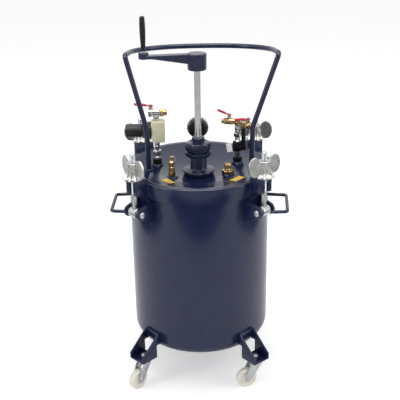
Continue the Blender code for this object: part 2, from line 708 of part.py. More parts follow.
def build_hoop():
    """Bar from the lid's left side up, out, back round the crank and down to its right side."""
    left_foot = lid_surface(HOOP_ROD - HOOP_LEFT_FOOT) + GAP
    right_foot = lid_surface(HOOP_ROD + HOOP_RIGHT_FOOT) + GAP
    bend, top = LID_TOP + HOOP_BEND_HEIGHT, LID_TOP + HOOP_HEIGHT
    bow = [Vector((x, HOOP_FRONT + y, top - HOOP_SINK * y / HOOP_BOW)) for x, y in hoop_bow()]
    left = rounded([(HOOP_LEFT_FOOT, HOOP_FRONT, left_foot), (HOOP_LEFT_FOOT - 0.003, HOOP_FRONT, bend),
                    bow[0], bow[2]], 0.014)
    right = rounded([bow[-3], bow[-1], (HOOP_RIGHT_FOOT + 0.003, HOOP_FRONT, bend),
                     (HOOP_RIGHT_FOOT, HOOP_FRONT, right_foot)], 0.014)
    rod("hoop_handle", left + [tuple(point) for point in bow[3:-3]] + right, HOOP_ROD, "navy enamel")


def build_gauge():
    """Gauge that faces the back, on a stem from the lid, with its needle on the gauge's axis."""
    x, y = GAUGE_PORT
    low = LID_TOP + GAUGE_LIFT
    centre = Vector((x, y, low + GAUGE_RADIUS))
    half = GAUGE_DEPTH / 2
    inner = GAUGE_RADIUS - GAUGE_WALL
    floor = -half + 0.012
    profile = [(0, floor), (inner, floor), (inner, half), (GAUGE_RADIUS, half),
               (GAUGE_RADIUS, -half + 0.004), (GAUGE_RADIUS - 0.004, -half), (0, -half)]
    case = turned("gauge_case", profile, "black plastic", 24)
    place(case, centre, (-math.pi / 2, 0, 0))
    port_top = pad_top(GAUGE_PORT) + GAP
    stem = place(cylinder("gauge_stem", 0.007, port_top, low + 0.003, facets=COARSE), (x, y, 0))
    hexagon = place(cylinder("gauge_hexagon", 0.011, port_top, port_top + 0.012, facets=6), (x, y, 0))
    join(case, stem, hexagon)
    build_needle(centre + Vector((0, floor + 0.006, 0)))


def build_needle(at):
    """Pointer with a short tail, turning about the gauge's axis."""
    outline = [(-0.0035, -0.009), (0.0035, -0.009), (0.003, 0), (0.0008, 0.023), (-0.0008, 0.023),
               (-0.003, 0)]
    needle = plate("gauge_needle", [outline], 0.0012, "red vinyl", upright=True)
    place(needle, at, (0, math.radians(130), 0))


def side_cylinder(name, radius, start, length, direction, facets=COARSE, finish=None):
    """Round bar from a start point along a horizontal direction in degrees."""
    obj = cylinder(name, radius, 0, length, finish, facets)
    return place(obj, start, (0, math.pi / 2, math.radians(direction)))


def build_inlet():
    """Riser, regulator with knob, and ball valve with its lever, on the left of the lid."""
    x, y = INLET_PORT
    base = pad_top(INLET_PORT) + GAP
    body_low, body_high = LID_TOP + 0.053, LID_TOP + 0.116
    riser = cylinder("inlet_riser", 0.0085, base, body_low - GAP, "chrome", COARSE)
    foot = cylinder("inlet_foot", 0.0135, base, base + 0.014, facets=6)
    union_nut = cylinder("inlet_union", 0.0125, base + 0.026, base + 0.040, facets=6)
    place(riser, (x, y, 0))
    join(riser, place(foot, (x, y, 0)), place(union_nut, (x, y, 0)))
    left, right = x - 0.0145, x + 0.024
    box("regulator_body", (left, y - 0.020, body_low), (right, y + 0.020, body_high), "ivory enamel")
    axis = Vector((0, y, (body_low + body_high) / 2 + 0.001))
    bonnet_end = left - GAP - 0.027
    bonnet = side_cylinder("regulator_bonnet", 0.025, axis + Vector((left - GAP, 0, 0)), 0.027, 180,
                           MEDIUM, "black plastic")
    neck = side_cylinder("bonnet_neck", 0.009, axis + Vector((bonnet_end + 0.001, 0, 0)), 0.016, 180)
    join(bonnet, neck)
    build_knob(axis + Vector((bonnet_end - GAP, 0, 0)))
    build_inlet_valve(x, y, body_high)


def build_knob(at):
    """Cap-shaped knob over the bonnet's neck; local Z runs outwards along -X."""
    bore, depth, length = 0.009 + RUN, 0.020, 0.046
    profile = [(0, length), (0.0175, length), (0.0190, length - 0.002), (0.0190, 0), (bore, 0),
               (bore, depth), (0, depth)]
    place(turned("regulator_knob", profile, "black plastic", MEDIUM), at, (0, -math.pi / 2, 0))


def build_inlet_valve(x, y, below):
    """Ball valve that lies along X on the regulator, with its lever above it."""
    axis = below + 0.022
    nipple = cylinder("inlet_valve", 0.009, below + GAP, axis, "chrome", COARSE)
    place(nipple, (x, y, 0))
    barrel = side_cylinder("inlet_barrel", 0.0125, (x - 0.022, y, axis), 0.044, 0, 8)
    end = side_cylinder("inlet_end", 0.009, (x + 0.018, y, axis), 0.014, 0)
    stem = place(cylinder("inlet_stem", 0.0055, axis, axis + 0.018), (x - 0.014, y, 0))
    join(nipple, barrel, end, stem)
    build_lever("inlet_lever", (x - 0.014, y, axis + 0.018 + GAP), 176, 0.048, 0.004)


def build_lever(name, at, direction, length, rise):
    """Flat lever on a valve's stem, its origin on the stem's axis."""
    half = 0.0055
    outline = [*arc((0, 0), 0.0075, 90, 270, 5), (length, -half), (length, half)]
    lever = plate(name, [outline], 0.003, "red vinyl")
    lever.data.transform(Matrix.Translation((0, 0, 0.0015)))
    for corner in lever.data.vertices:
        corner.co.z += rise * max(0, corner.co.x) / length
    place(lever, at, (0, 0, math.radians(direction)))


def build_outlet():
    """Manifold with two risers, and a ball valve on each, on the right of the lid."""
    x, y = OUTLET_PORT
    base = pad_top(OUTLET_PORT) + GAP
    tee = LID_TOP + 0.028
    riser_top = LID_TOP + 0.095
    second = (x + OUTLET_B_OFFSET[0], y + OUTLET_B_OFFSET[1])
    second_top = riser_top - 0.010
    manifold = place(cylinder("outlet_manifold", 0.0085, base, riser_top, "chrome", COARSE), (x, y, 0))
    foot = place(cylinder("outlet_foot", 0.0135, base, base + 0.013, facets=6), (x, y, 0))
    nut = place(cylinder("outlet_nut", 0.0140, tee - 0.011, tee + 0.018, facets=6), (x, y, 0))
    arm = side_cylinder("outlet_arm", 0.0095, (x, y, tee), OUTLET_B_OFFSET[0], 8)
    riser = place(cylinder("outlet_riser", 0.0065, tee - 0.009, second_top), (*second, 0))
    riser_nut = place(cylinder("outlet_riser_nut", 0.0115, tee - 0.008, tee + 0.012, facets=6),
                      (*second, 0))
    join(manifold, foot, nut, arm, riser, riser_nut)
    stem_a = build_outlet_valve("a", (x, y), riser_top + GAP, 170, 0.046, 0.024)
    build_lever("outlet_lever_a", stem_a, 176, 0.034, 0.014)
    stem_b = build_outlet_valve("b", second, second_top + GAP, -38, 0.040, 0.016)
    build_lever("outlet_lever_b", stem_b, 200, 0.042, 0.001)


def build_outlet_valve(letter, port, low, direction, length, stem_reach):
    """Elbow on a riser, the valve's barrel along its direction, and the stem; returns the lever's seat."""
    x, y = port
    axis = low + 0.010
    valve = place(cylinder(f"outlet_valve_{letter}", 0.0085, low, axis + 0.008, "brass", COARSE),
                  (x, y, 0))
    barrel = side_cylinder(f"outlet_barrel_{letter}", 0.0095, (x, y, axis), length - 0.012, direction, 8)
    end = side_cylinder(f"outlet_end_{letter}", 0.007, (x, y, axis), length, direction)
    stem_at = Vector((x, y, 0)) + polar(stem_reach, math.radians(direction))
    stem_top = axis + 0.017
    stem = place(cylinder(f"outlet_stem_{letter}", 0.0045, axis, stem_top, facets=COARSE), stem_at)
    join(valve, barrel, end, stem)
    return (*stem_at.xy, stem_top + GAP)


def build_small_fittings():
    """Relief valve, filler plug and the dip tube below the outlet."""
    base = pad_top(RELIEF_PORT) + GAP
    profile = [(0, base + 0.058), (0.004, base + 0.058), (0.0055, base + 0.044), (0.0085, base + 0.042),
               (0.0085, base + 0.014), (0.0100, base + 0.012), (0.0100, base), (0, base)]
    place(turned("relief_valve", profile, "brass", COARSE), (*RELIEF_PORT, 0))
    base = pad_top(FILLER_PORT) + GAP
    profile = [(0, base + 0.027), (0.0085, base + 0.027), (0.0100, base + 0.024), (0.0100, base + 0.009),
               (0.0185, base + 0.008), (0.0185, base), (0, base)]
    place(turned("filler_plug", profile, "brass", COARSE), (*FILLER_PORT, 0))
    near = math.hypot(*OUTLET_PORT) - DIP_TUBE_RADIUS
    top = lid_surface(near) - LID_PLATE - 0.001
    tube = tube_ring("dip_tube", DIP_TUBE_RADIUS, DIP_TUBE_RADIUS - 0.0015, 0.030, top, "zinc", COARSE)
    place(tube, (*OUTLET_PORT, 0))


def build():
    start_scene()
    envelope = tank_envelope()
    build_tank()
    build_lid()
    for quarter in QUARTERS:
        build_leg(quarter, envelope)
        build_caster(quarter)
        build_clamp_bracket(quarter, envelope)
        build_swing_bolt(quarter)
        build_wing_nut(quarter)
    build_side_handle("side_handle_left", LEFT_HANDLE_REACH, math.radians(178.5), envelope)
    build_side_handle("side_handle_right", RIGHT_HANDLE_REACH, math.radians(-4.5), envelope)
    build_agitator(build_boss())
    build_hoop()
    build_gauge()
    build_inlet()
    build_outlet()
    build_small_fittings()


build()
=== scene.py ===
"""Resin pressure pot on casters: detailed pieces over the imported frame.

Metres, +Z up, front -Y.  Places come from the CAD nodes' boxes.
"""

import math

import bpy
from mathutils import Matrix, Vector


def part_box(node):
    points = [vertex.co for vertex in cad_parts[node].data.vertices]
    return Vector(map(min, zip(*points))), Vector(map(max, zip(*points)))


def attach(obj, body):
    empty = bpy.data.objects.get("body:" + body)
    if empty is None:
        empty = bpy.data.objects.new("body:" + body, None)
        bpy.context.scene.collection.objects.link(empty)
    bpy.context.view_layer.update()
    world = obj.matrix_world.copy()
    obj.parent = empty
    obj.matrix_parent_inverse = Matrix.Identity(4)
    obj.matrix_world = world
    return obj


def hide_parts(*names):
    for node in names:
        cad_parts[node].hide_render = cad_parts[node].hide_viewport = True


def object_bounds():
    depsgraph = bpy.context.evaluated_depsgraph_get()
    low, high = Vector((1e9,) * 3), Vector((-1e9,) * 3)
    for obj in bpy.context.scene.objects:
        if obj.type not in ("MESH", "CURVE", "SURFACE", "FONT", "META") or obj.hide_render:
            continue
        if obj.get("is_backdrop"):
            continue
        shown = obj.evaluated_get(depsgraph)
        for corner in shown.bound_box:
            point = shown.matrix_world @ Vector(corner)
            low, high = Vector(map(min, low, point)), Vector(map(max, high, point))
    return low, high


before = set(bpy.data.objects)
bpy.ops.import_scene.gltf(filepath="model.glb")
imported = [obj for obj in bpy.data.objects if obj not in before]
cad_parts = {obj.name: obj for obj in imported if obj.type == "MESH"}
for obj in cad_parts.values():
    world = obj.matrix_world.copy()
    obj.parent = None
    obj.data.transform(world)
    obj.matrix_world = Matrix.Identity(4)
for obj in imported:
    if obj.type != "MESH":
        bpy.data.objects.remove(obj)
CAD_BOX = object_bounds()

QUARTERS = ("front_left", "front_right", "back_left", "back_right")
NUT_TURN = {"front_left": 125, "front_right": 34, "back_left": 20, "back_right": 160}
CASTER_TURN = {"front_left": 228, "front_right": 195, "back_left": 118, "back_right": 52}

ROUND = 96  # sides of a large turned piece
SMALL_ROUND = 40  # sides of a small one

# Sizes that no node's box gives
TANK_WALL = 0.004
TANK_KNUCKLE = 0.043
RIM_OVERHANG = 0.005
LID_PLATE = 0.005
LID_DISH = 0.033
LID_RIM_WIDTH = 0.017
LID_SKIRT_DEPTH = 0.043
LUG_RISE = 0.0145
LUG_HEIGHT = 0.040
LUG_WIDTH = 0.045
CASTER_TRAIL = 0.027
CASTER_CIRCLE = 0.240
CRANK_ARM = 0.145
HEX_CORNER = 0.0375
HEX_TURN = math.radians(8)
HOOP_TUBE = 0.0072
HOOP_BACK = 0.180
GAUGE_BACK = 0.120  # y of the gauge's middle


def centre(node):
    """Middle of a CAD node's box."""
    low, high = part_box(node)
    return (low + high) / 2


TANK_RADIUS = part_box("tank")[1].x - RIM_OVERHANG
LID_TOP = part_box("lid")[1].z - LUG_RISE
LID_RADIUS = TANK_RADIUS + 0.012
DISH_RADIUS = LID_RADIUS - LID_RIM_WIDTH
BOSS_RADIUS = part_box("agitator_boss")[1].x


# Materials


def linear(code):
    """Linear colour of an sRGB hex value."""
    channels = [int(code[i:i + 2], 16) / 255 for i in (1, 3, 5)]
    return (*[c / 12.92 if c <= 0.04045 else ((c + 0.055) / 1.055) ** 2.4 for c in channels], 1)


def add(tree, kind, settings, links=()):
    """Adds a node, sets its inputs and properties, and links outputs into its inputs."""
    node = tree.nodes.new("ShaderNode" + kind)
    for key, value in settings.items():
        if key in node.inputs:
            node.inputs[key].default_value = value
        else:
            setattr(node, key, value)
    for key, output in dict(links).items():
        tree.links.new(output, node.inputs[key])
    return node


def per_mm(size):
    """Noise scale for features of a size in millimetres, on coordinates in metres."""
    return 1000 / size


def finish(name, dark, light, rough, mottle, grain, relief, shader, stretch=(1, 1, 1)):
    """Procedural finish: two close colours mottled over millimetres, and a fine relief.

    rough is the least and most roughness, mottle and grain are sizes in millimetres, relief is
    the bump's depth in metres, and shader holds the plain settings of the shader.
    """
    made = bpy.data.materials.new(name)
    made.use_nodes = True
    tree = made.node_tree
    principled = tree.nodes["Principled BSDF"]
    for key, value in shader.items():
        principled.inputs[key].default_value = value
    where = add(tree, "TexCoord", {})
    along = add(tree, "Mapping", {"Scale": stretch}, {"Vector": where.outputs["Object"]})
    clouds = add(tree, "TexNoise", {"Scale": per_mm(mottle), "Detail": 5.0, "Roughness": 0.55},
                 {"Vector": along.outputs["Vector"]})
    tint = add(tree, "ValToRGB", {}, {"Fac": clouds.outputs["Fac"]})
    tint.color_ramp.elements[0].position = 0.32
    tint.color_ramp.elements[0].color = linear(dark)
    tint.color_ramp.elements[1].position = 0.68
    tint.color_ramp.elements[1].color = linear(light)
    tree.links.new(tint.outputs["Color"], principled.inputs["Base Color"])
    gloss = add(tree, "MapRange", {"From Min": 0.3, "From Max": 0.7, "To Min": rough[0],
                                   "To Max": rough[1]}, {"Value": clouds.outputs["Fac"]})
    tree.links.new(gloss.outputs["Result"], principled.inputs["Roughness"])
    fine = add(tree, "TexNoise", {"Scale": per_mm(grain), "Detail": 3.0},
               {"Vector": along.outputs["Vector"]})
    bump = add(tree, "Bump", {"Strength": 0.6, "Distance": relief}, {"Height": fine.outputs["Fac"]})
    tree.links.new(bump.outputs["Normal"], principled.inputs["Normal"])
    return made


FINISHES = {
    # Baked gloss enamel over rolled steel: deep navy, even, with a faint orange peel 4 mm across
    "navy_enamel": finish("gloss navy enamel", "#171f3e", "#1c2548", (0.13, 0.20), 60, 4, 0.00003,
                          {"Coat Weight": 0.12, "Coat Roughness": 0.05, "IOR": 1.44}),
    # The same enamel over sand-cast iron: the 1.6 mm grain of the sand shows through the paint
    "cast_enamel": finish("navy enamel on cast iron", "#141b36", "#1d2648", (0.17, 0.28), 12, 1.6,
                          0.00018, {"Coat Weight": 0.12, "Coat Roughness": 0.1, "IOR": 1.46}),
    # Bright zinc plating: bluish silver with drawn streaks 3 mm apart
    "zinc": finish("bright zinc plate", "#b4b7bc", "#d6d8d8", (0.22, 0.36), 3, 0.7, 0.00004,
                   {"Metallic": 1.0}),
    # Zinc die casting as it leaves the mould: matt light grey, 1.2 mm pebbled skin
    "cast_zinc": finish("cast zinc", "#b2b3b1", "#d8d8d5", (0.28, 0.42), 9, 1.2, 0.00012,
                        {"Metallic": 1.0}),
    # Hard chrome, ground and polished: near mirror, with hazier patches
    "chrome": finish("polished chrome", "#c6c7cb", "#dcdde0", (0.03, 0.08), 30, 3, 0.000004,
                     {"Metallic": 1.0}),
    # Black oxide on turned steel: dark, a little oily
    "black_oxide": finish("black oxide steel", "#26272a", "#3c3d40", (0.28, 0.42), 6, 0.9, 0.00005,
                          {"Metallic": 0.9}),
    # Machined free-cutting brass: warm yellow, duller where it was handled
    "brass": finish("machined brass", "#a38a5e", "#cfb584", (0.18, 0.32), 6, 0.6, 0.00004,
                    {"Metallic": 1.0}),
    # Stove enamel on a die-cast body: pale ivory, satin
    "ivory_enamel": finish("ivory stove enamel", "#e6e2bc", "#f1eed0", (0.30, 0.42), 18, 1.4,
                           0.00006, {"IOR": 1.5}),
    # Moulded glass-filled nylon: black with a fine spark-eroded texture
    "black_plastic": finish("moulded black nylon", "#121214", "#1d1d20", (0.36, 0.50), 10, 0.9,
                            0.00008, {"IOR": 1.5}),
    # Dipped vinyl sleeve: bright red and slightly translucent
    "red_vinyl": finish("dipped red vinyl", "#b81f3c", "#cf2f4e", (0.28, 0.40), 8, 2.0, 0.00006,
                        {"IOR": 1.52, "Subsurface Weight": 0.08, "Subsurface Scale": 0.001}),
    # Moulded nylon wheel: milky ivory white, scuffed by the floor
    "wheel_plastic": finish("moulded white nylon", "#e4dfd2", "#f4f0e6", (0.34, 0.52), 7, 0.8,
                            0.00006, {"IOR": 1.53, "Subsurface Weight": 0.1,
                                      "Subsurface Scale": 0.002}),
    # Vulcanised tan rubber: matt, chalky bloom
    "tan_rubber": finish("tan rubber", "#94703e", "#b08a54", (0.65, 0.80), 5, 0.8, 0.0001,
                         {"IOR": 1.52}),
    # Yellow coated card of the blank tags: semi-gloss with paper fibre showing
    "yellow_card": finish("coated yellow card", "#dcb23a", "#eac74c", (0.35, 0.5), 9, 1.0, 0.00004,
                          {"IOR": 1.5}),
    # White card and the printed dial's paint: flat, faintly uneven
    "white_card": finish("matt white card", "#e9e9e4", "#f4f4f0", (0.5, 0.65), 12, 1.0, 0.00003,
                         {"IOR": 1.5}),
    # Screen-printed dial ink
    "dial_ink": finish("black dial ink", "#141414", "#202020", (0.45, 0.6), 4, 0.6, 0.00002,
                       {"IOR": 1.5}),
    # Window glass of the gauge: clear, faint smears
    "glass": finish("gauge window glass", "#f4f8f7", "#ffffff", (0.02, 0.05), 20, 4, 0.00001,
                    {"IOR": 1.5, "Transmission Weight": 1.0}),
}
SLOTS = {"black_oxide": "zinc", "yellow_card": "brass", "white_card": "ivory_enamel",
         "dial_ink": "black_plastic", "glass": "chrome"}


# Modelling


def deselect():
    """Clears the selection, so that the next primitive is alone in it."""
    bpy.ops.object.select_all(action="DESELECT")


def smooth(degrees):
    """Shades the selected piece smooth where its faces meet at less than an angle."""
    bpy.ops.object.shade_smooth_by_angle(angle=math.radians(degrees))


def select_only(*pieces):
    """Selects these pieces and nothing else; the first is active."""
    deselect()
    for piece in pieces:
        piece.select_set(True)
    bpy.context.view_layer.objects.active = pieces[0]


def named(name):
    """Names the new primitive and puts its place in its mesh."""
    piece = bpy.context.object
    piece.name = piece.data.name = name
    bpy.ops.object.transform_apply(location=True, rotation=True, scale=True)
    return piece


def place(piece, at=(0, 0, 0), turn=(0, 0, 0)):
    """Turns and moves a piece that was made about the origin."""
    piece.location = at
    piece.rotation_euler = turn
    select_only(piece)
    bpy.ops.object.transform_apply(location=True, rotation=True, scale=True)
    return piece


def applied(piece, kind, **settings):
    """Adds a modifier and applies it."""
    select_only(piece)
    modifier = piece.modifiers.new(kind.title(), kind)
    for key, value in settings.items():
        setattr(modifier, key, value)
    bpy.ops.object.modifier_apply(modifier=modifier.name)
    return piece


def soften(piece, width=0.0004, segments=2, angle=32):
    """Rounds the real edges and shades the rest smooth."""
    applied(piece, "BEVEL", width=width, segments=segments, limit_method="ANGLE",
            angle_limit=math.radians(angle), use_clamp_overlap=True)
    smooth(angle)
    return piece


def cast(piece, voxel=0.0011, passes=3):
    """Melts joined shapes into one casting with small fillets."""
    applied(piece, "REMESH", mode="VOXEL", voxel_size=voxel)
    applied(piece, "SMOOTH", factor=0.5, iterations=passes)
    bpy.ops.object.shade_smooth()
    return piece


def joined(*pieces, name=None):
    """One object of several shapes; it keeps the first one's name unless it is given its own."""
    select_only(*pieces)
    bpy.ops.object.join()
    whole = pieces[0]
    if name:
        whole.name = whole.data.name = name
    return whole


def carved(piece, tool, operation):
    """Boolean with a tool that is then thrown away."""
    applied(piece, "BOOLEAN", operation=operation, solver="EXACT", object=tool)
    bpy.data.objects.remove(tool)
    return piece


def turned(name, rings, sides=SMALL_ROUND, hollow=False):
    """A circle drawn up through rings of (radius, height); hollow joins the last to the first."""
    radius, height = rings[0]
    deselect()
    fill = "NOTHING" if hollow else "NGON"
    bpy.ops.mesh.primitive_circle_add(vertices=sides, radius=radius, fill_type=fill,
                                      location=(0, 0, height))
    piece = named(name)
    bpy.ops.object.mode_set(mode="EDIT")
    bpy.ops.mesh.select_mode(type="EDGE" if hollow else "FACE")
    bpy.ops.mesh.select_all(action="SELECT")
    for wider, higher in rings[1:]:
        bpy.ops.mesh.extrude_region_move(TRANSFORM_OT_translate={"value": (0, 0, higher - height)})
        scale = wider / radius
        bpy.ops.transform.resize(value=(scale, scale, 1), center_override=(0, 0, 0))
        radius, height = wider, higher
    if hollow:
        bpy.ops.mesh.select_all(action="DESELECT")
        bpy.ops.mesh.select_non_manifold()
        bpy.ops.mesh.bridge_edge_loops()
    bpy.ops.mesh.select_all(action="SELECT")
    bpy.ops.mesh.normals_make_consistent(inside=False)
    bpy.ops.object.mode_set(mode="OBJECT")
    return piece


def bar(name, radius, bottom, top, sides=SMALL_ROUND, chamfer=0.0006):
    """A turned bar with its ends chamfered."""
    return turned(name, [(radius - chamfer, bottom), (radius, bottom + chamfer),
                         (radius, top - chamfer), (radius - chamfer, top)], sides)


def hexagon(name, corner, bottom, top):
    """A hexagon nut with its corners turned off at both ends."""
    deselect()
    bpy.ops.mesh.primitive_cylinder_add(vertices=6, radius=corner, depth=top - bottom,
                                        location=(0, 0, (bottom + top) / 2),
                                        rotation=(0, 0, math.pi / 6))
    nut = named(name)
    slope = corner * 0.07
    barrel = turned("corner_cutter", [(corner * 0.88, bottom), (corner * 1.001, bottom + slope),
                                      (corner * 1.001, top - slope), (corner * 0.88, top)])
    return soften(carved(nut, barrel, "INTERSECT"), corner * 0.02)


def block(name, low, high, edge=0.001, segments=3):
    """A box between two corners with its edges rounded."""
    size = Vector(high) - Vector(low)
    deselect()
    bpy.ops.mesh.primitive_cube_add(size=1, location=(Vector(high) + Vector(low)) / 2, scale=size)
    return soften(named(name), edge, segments)


def plate(name, outline, thickness, upright=False, edge=0.0006):
    """A flat outline drawn out to a thickness, centred on its plane; upright stands it in XZ."""
    deselect()
    bpy.ops.mesh.primitive_circle_add(vertices=len(outline), radius=1, fill_type="NGON")
    piece = named(name)
    for corner, (across, up) in zip(piece.data.vertices, outline):
        corner.co = (across, up, -thickness / 2)
    bpy.ops.object.mode_set(mode="EDIT")
    bpy.ops.mesh.select_mode(type="FACE")
    bpy.ops.mesh.select_all(action="SELECT")
    bpy.ops.mesh.extrude_region_move(TRANSFORM_OT_translate={"value": (0, 0, thickness)})
    bpy.ops.mesh.select_all(action="SELECT")
    bpy.ops.mesh.normals_make_consistent(inside=False)
    bpy.ops.object.mode_set(mode="OBJECT")
    if upright:
        place(piece, turn=(math.pi / 2, 0, 0))
    return soften(piece, edge) if edge else piece


def rod(name, path, radius, sides=6):
    """A round bar along a path of points."""
    deselect()
    bpy.ops.curve.primitive_nurbs_path_add()
    piece = bpy.context.object
    piece.data.splines.clear()
    spline = piece.data.splines.new("POLY")
    spline.points.add(len(path) - 1)
    for point, corner in zip(spline.points, path):
        point.co = (*corner, 1)
    piece.data.bevel_depth = radius
    piece.data.bevel_resolution = sides
    piece.data.use_fill_caps = True
    bpy.ops.object.convert(target="MESH")
    piece = named(name)
    bpy.ops.object.mode_set(mode="EDIT")
    bpy.ops.mesh.select_all(action="SELECT")
    bpy.ops.mesh.remove_doubles(threshold=0.00001)
    bpy.ops.mesh.normals_make_consistent(inside=False)
    bpy.ops.object.mode_set(mode="OBJECT")
    smooth(45)
    return piece


def rippled(piece, count, depth, low, high):
    """Presses flutes into a turned piece between two heights, deepest at the lower one."""
    for corner in piece.data.vertices:
        if low <= corner.co.z <= high:
            angle = math.atan2(corner.co.y, corner.co.x)
            radius = math.hypot(corner.co.x, corner.co.y)
            dip = depth * (0.5 + 0.5 * math.cos(count * angle))
            dip *= (high - corner.co.z) / (high - low)
            scale = (radius - dip) / radius
            corner.co.x *= scale
            corner.co.y *= scale
    return piece


def copied(piece, name):
    """A copy with its own mesh."""
    copy = piece.copy()
    copy.data = piece.data.copy()
    copy.name = copy.data.name = name
    bpy.context.scene.collection.objects.link(copy)
    return copy


def fitted(piece, body, coat, *nodes):
    """Gives a piece its finish, its body and the CAD nodes that it stands for."""
    piece.data.materials.clear()
    piece.data.materials.append(FINISHES[coat])
    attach(piece, body)
    SLOTS.get(coat, coat)
    if nodes:
        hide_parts(*nodes)
    return piece


def fit_nut(name, corner, bottom, top, at, coat, turn=0, body="lid"):
    """An upright hexagon, placed and given its finish."""
    return fitted(place(hexagon(name, corner, bottom, top), at, (0, 0, turn)), body, coat)


def arc(middle, radius, start, end, steps):
    """Points on an arc, angles in degrees."""
    angles = [math.radians(start + (end - start) * i / steps) for i in range(steps + 1)]
    return [(middle[0] + radius * math.cos(a), middle[1] + radius * math.sin(a)) for a in angles]


def polar(radius, angle, height=0.0):
    """Point at a radius and an angle in radians."""
    return Vector((radius * math.cos(angle), radius * math.sin(angle), height))


def rounded(path, radius, steps=10):
    """A path with each inner corner rounded."""
    points = [Vector(corner) for corner in path]
    result = [points[0]]
    for before, corner, after in zip(points, points[1:], points[2:]):
        back = (before - corner).normalized()
        ahead = (after - corner).normalized()
        reach = radius / math.tan(back.angle(ahead) / 2)
        start, end = corner + back * reach, corner + ahead * reach
        for i in range(steps + 1):
            t = i / steps
            result.append(start * (1 - t) ** 2 + corner * 2 * t * (1 - t) + end * t ** 2)
    result.append(points[-1])
    return result


def lid_surface(radius):
    """Height of the dished top at a radius, flat under the boss."""
    reach = max(radius, BOSS_RADIUS)
    return LID_TOP - LID_DISH * max(0, 1 - (reach / DISH_RADIUS) ** 2)


# Tank and what is welded to it


def make_tank():
    """Spun tank with a rounded foot and a rolled rim."""
    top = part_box("tank")[1].z
    turn = TANK_RADIUS - TANK_KNUCKLE
    bore, rim = TANK_RADIUS - TANK_WALL, TANK_RADIUS + RIM_OVERHANG
    rings = arc((turn, TANK_KNUCKLE), TANK_KNUCKLE, -90, 0, 14)
    rings += [(TANK_RADIUS, top * 0.5), (TANK_RADIUS, top - 0.0155), (rim - 0.001, top - 0.0105)]
    rings += [(rim, top - 0.009), (rim, top - 0.001), (rim - 0.001, top), (bore, top)]
    rings += arc((turn, TANK_KNUCKLE), TANK_KNUCKLE - TANK_WALL, 0, -90, 10)
    tank = turned("tank_shell", rings, ROUND)
    smooth(30)
    fitted(tank, "pot", "navy_enamel", "tank")
    low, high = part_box("lid_gasket")
    edge = high.x
    gasket = turned("gasket_ring", [(edge - 0.0075, low.z), (edge - 0.0006, low.z),
                                    (edge, low.z + 0.002), (edge - 0.0006, high.z),
                                    (edge - 0.0075, high.z)], ROUND, hollow=True)
    fitted(soften(gasket), "pot", "tan_rubber", "lid_gasket")


def make_side_handle(side, angle):
    """Bent bar welded to the wall, with a bead round each end."""
    node = f"side_handle_{side}"
    low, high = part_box(node)
    height = (low.z + high.z) / 2
    outer = max(abs(low.x), abs(high.x)) - 0.005
    half, splay = 0.063, 0.007
    inner = TANK_RADIUS - (half + splay) ** 2 / (2 * TANK_RADIUS) - 0.002
    path = rounded([(inner, -half - splay, height), (outer - 0.002, -half, height),
                    (outer - 0.002, half, height), (inner, half + splay, height)], 0.011)
    handle = rod(f"side_bar_{side}", path, 0.0052)
    place(handle, turn=(0, 0, math.radians(angle)))
    fitted(handle, "pot", "navy_enamel", node)
    for number, across in enumerate((-half - splay, half + splay)):
        bead = weld_bead(f"bar_weld_{side}_{number}", 0.0062, 0.0024)
        way = math.asin(across / TANK_RADIUS)
        place(bead, turn=(0, math.pi / 2, way))
        place(bead, polar(TANK_RADIUS, way, height))
        place(bead, turn=(0, 0, math.radians(angle)))
        fitted(bead, "pot", "cast_enamel")


def weld_bead(name, reach, thick):
    """A ring of weld laid in small overlapping drops."""
    deselect()
    bpy.ops.mesh.primitive_torus_add(major_radius=reach, minor_radius=thick, major_segments=48,
                                     minor_segments=10)
    bead = named(name)
    for corner in bead.data.vertices:
        angle = math.atan2(corner.co.y, corner.co.x)
        corner.co.z *= 0.8 + 0.2 * math.cos(12 * angle)
    bpy.ops.object.shade_smooth()
    return bead


def make_clevis_pin(quarter):
    """Headed pin through the bracket's ears."""
    node = f"clevis_pin_{quarter}"
    middle = centre(node)
    angle = math.atan2(middle.y, middle.x)
    rings = [(0.0055, -0.0346), (0.0085, -0.0335), (0.009, -0.032), (0.009, -0.0293),
             (0.007, -0.0293), (0.007, 0.0293), (0.009, 0.0293), (0.009, 0.032),
             (0.0085, 0.0335), (0.0055, 0.0346)]
    pin = soften(turned(f"pin_{quarter}", rings), 0.0002)
    fitted(place(pin, middle, (math.pi / 2, 0, angle)), "pot", "zinc", node)


def make_bracket(quarter):
    """Two ears with round noses on a web that is welded to the wall."""
    node = f"clamp_bracket_{quarter}"
    low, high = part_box(node)
    pin = centre(f"clevis_pin_{quarter}")
    angle = math.atan2(pin.y, pin.x)
    wall = TANK_RADIUS - 0.003
    nose = arc((pin.xy.length, pin.z), 0.017, -50, 75, 18)
    outline = [(wall, low.z), *nose, (wall, high.z)]
    parts = []
    for side in (-1, 1):
        ear = plate(f"bracket_ear_{quarter}_{side}", outline, 0.007, upright=True, edge=0.0012)
        parts.append(place(ear, (0, side * 0.0255, 0)))
    parts.append(block(f"bracket_web_{quarter}", (wall, -0.024, low.z + 0.001),
                       (TANK_RADIUS + 0.004, 0.024, high.z - 0.001)))
    bracket = joined(*parts, name=f"bracket_{quarter}")
    fitted(place(bracket, turn=(0, 0, angle)), "pot", "navy_enamel", node)


def leg_angle(quarter):
    """Direction of a leg, taken from the point below which its wheel's axle swings."""
    turn = math.radians(CASTER_TURN[quarter])
    swivel = centre(f"caster_wheel_{quarter}") - polar(CASTER_TRAIL, turn)
    return math.atan2(swivel.y, swivel.x)


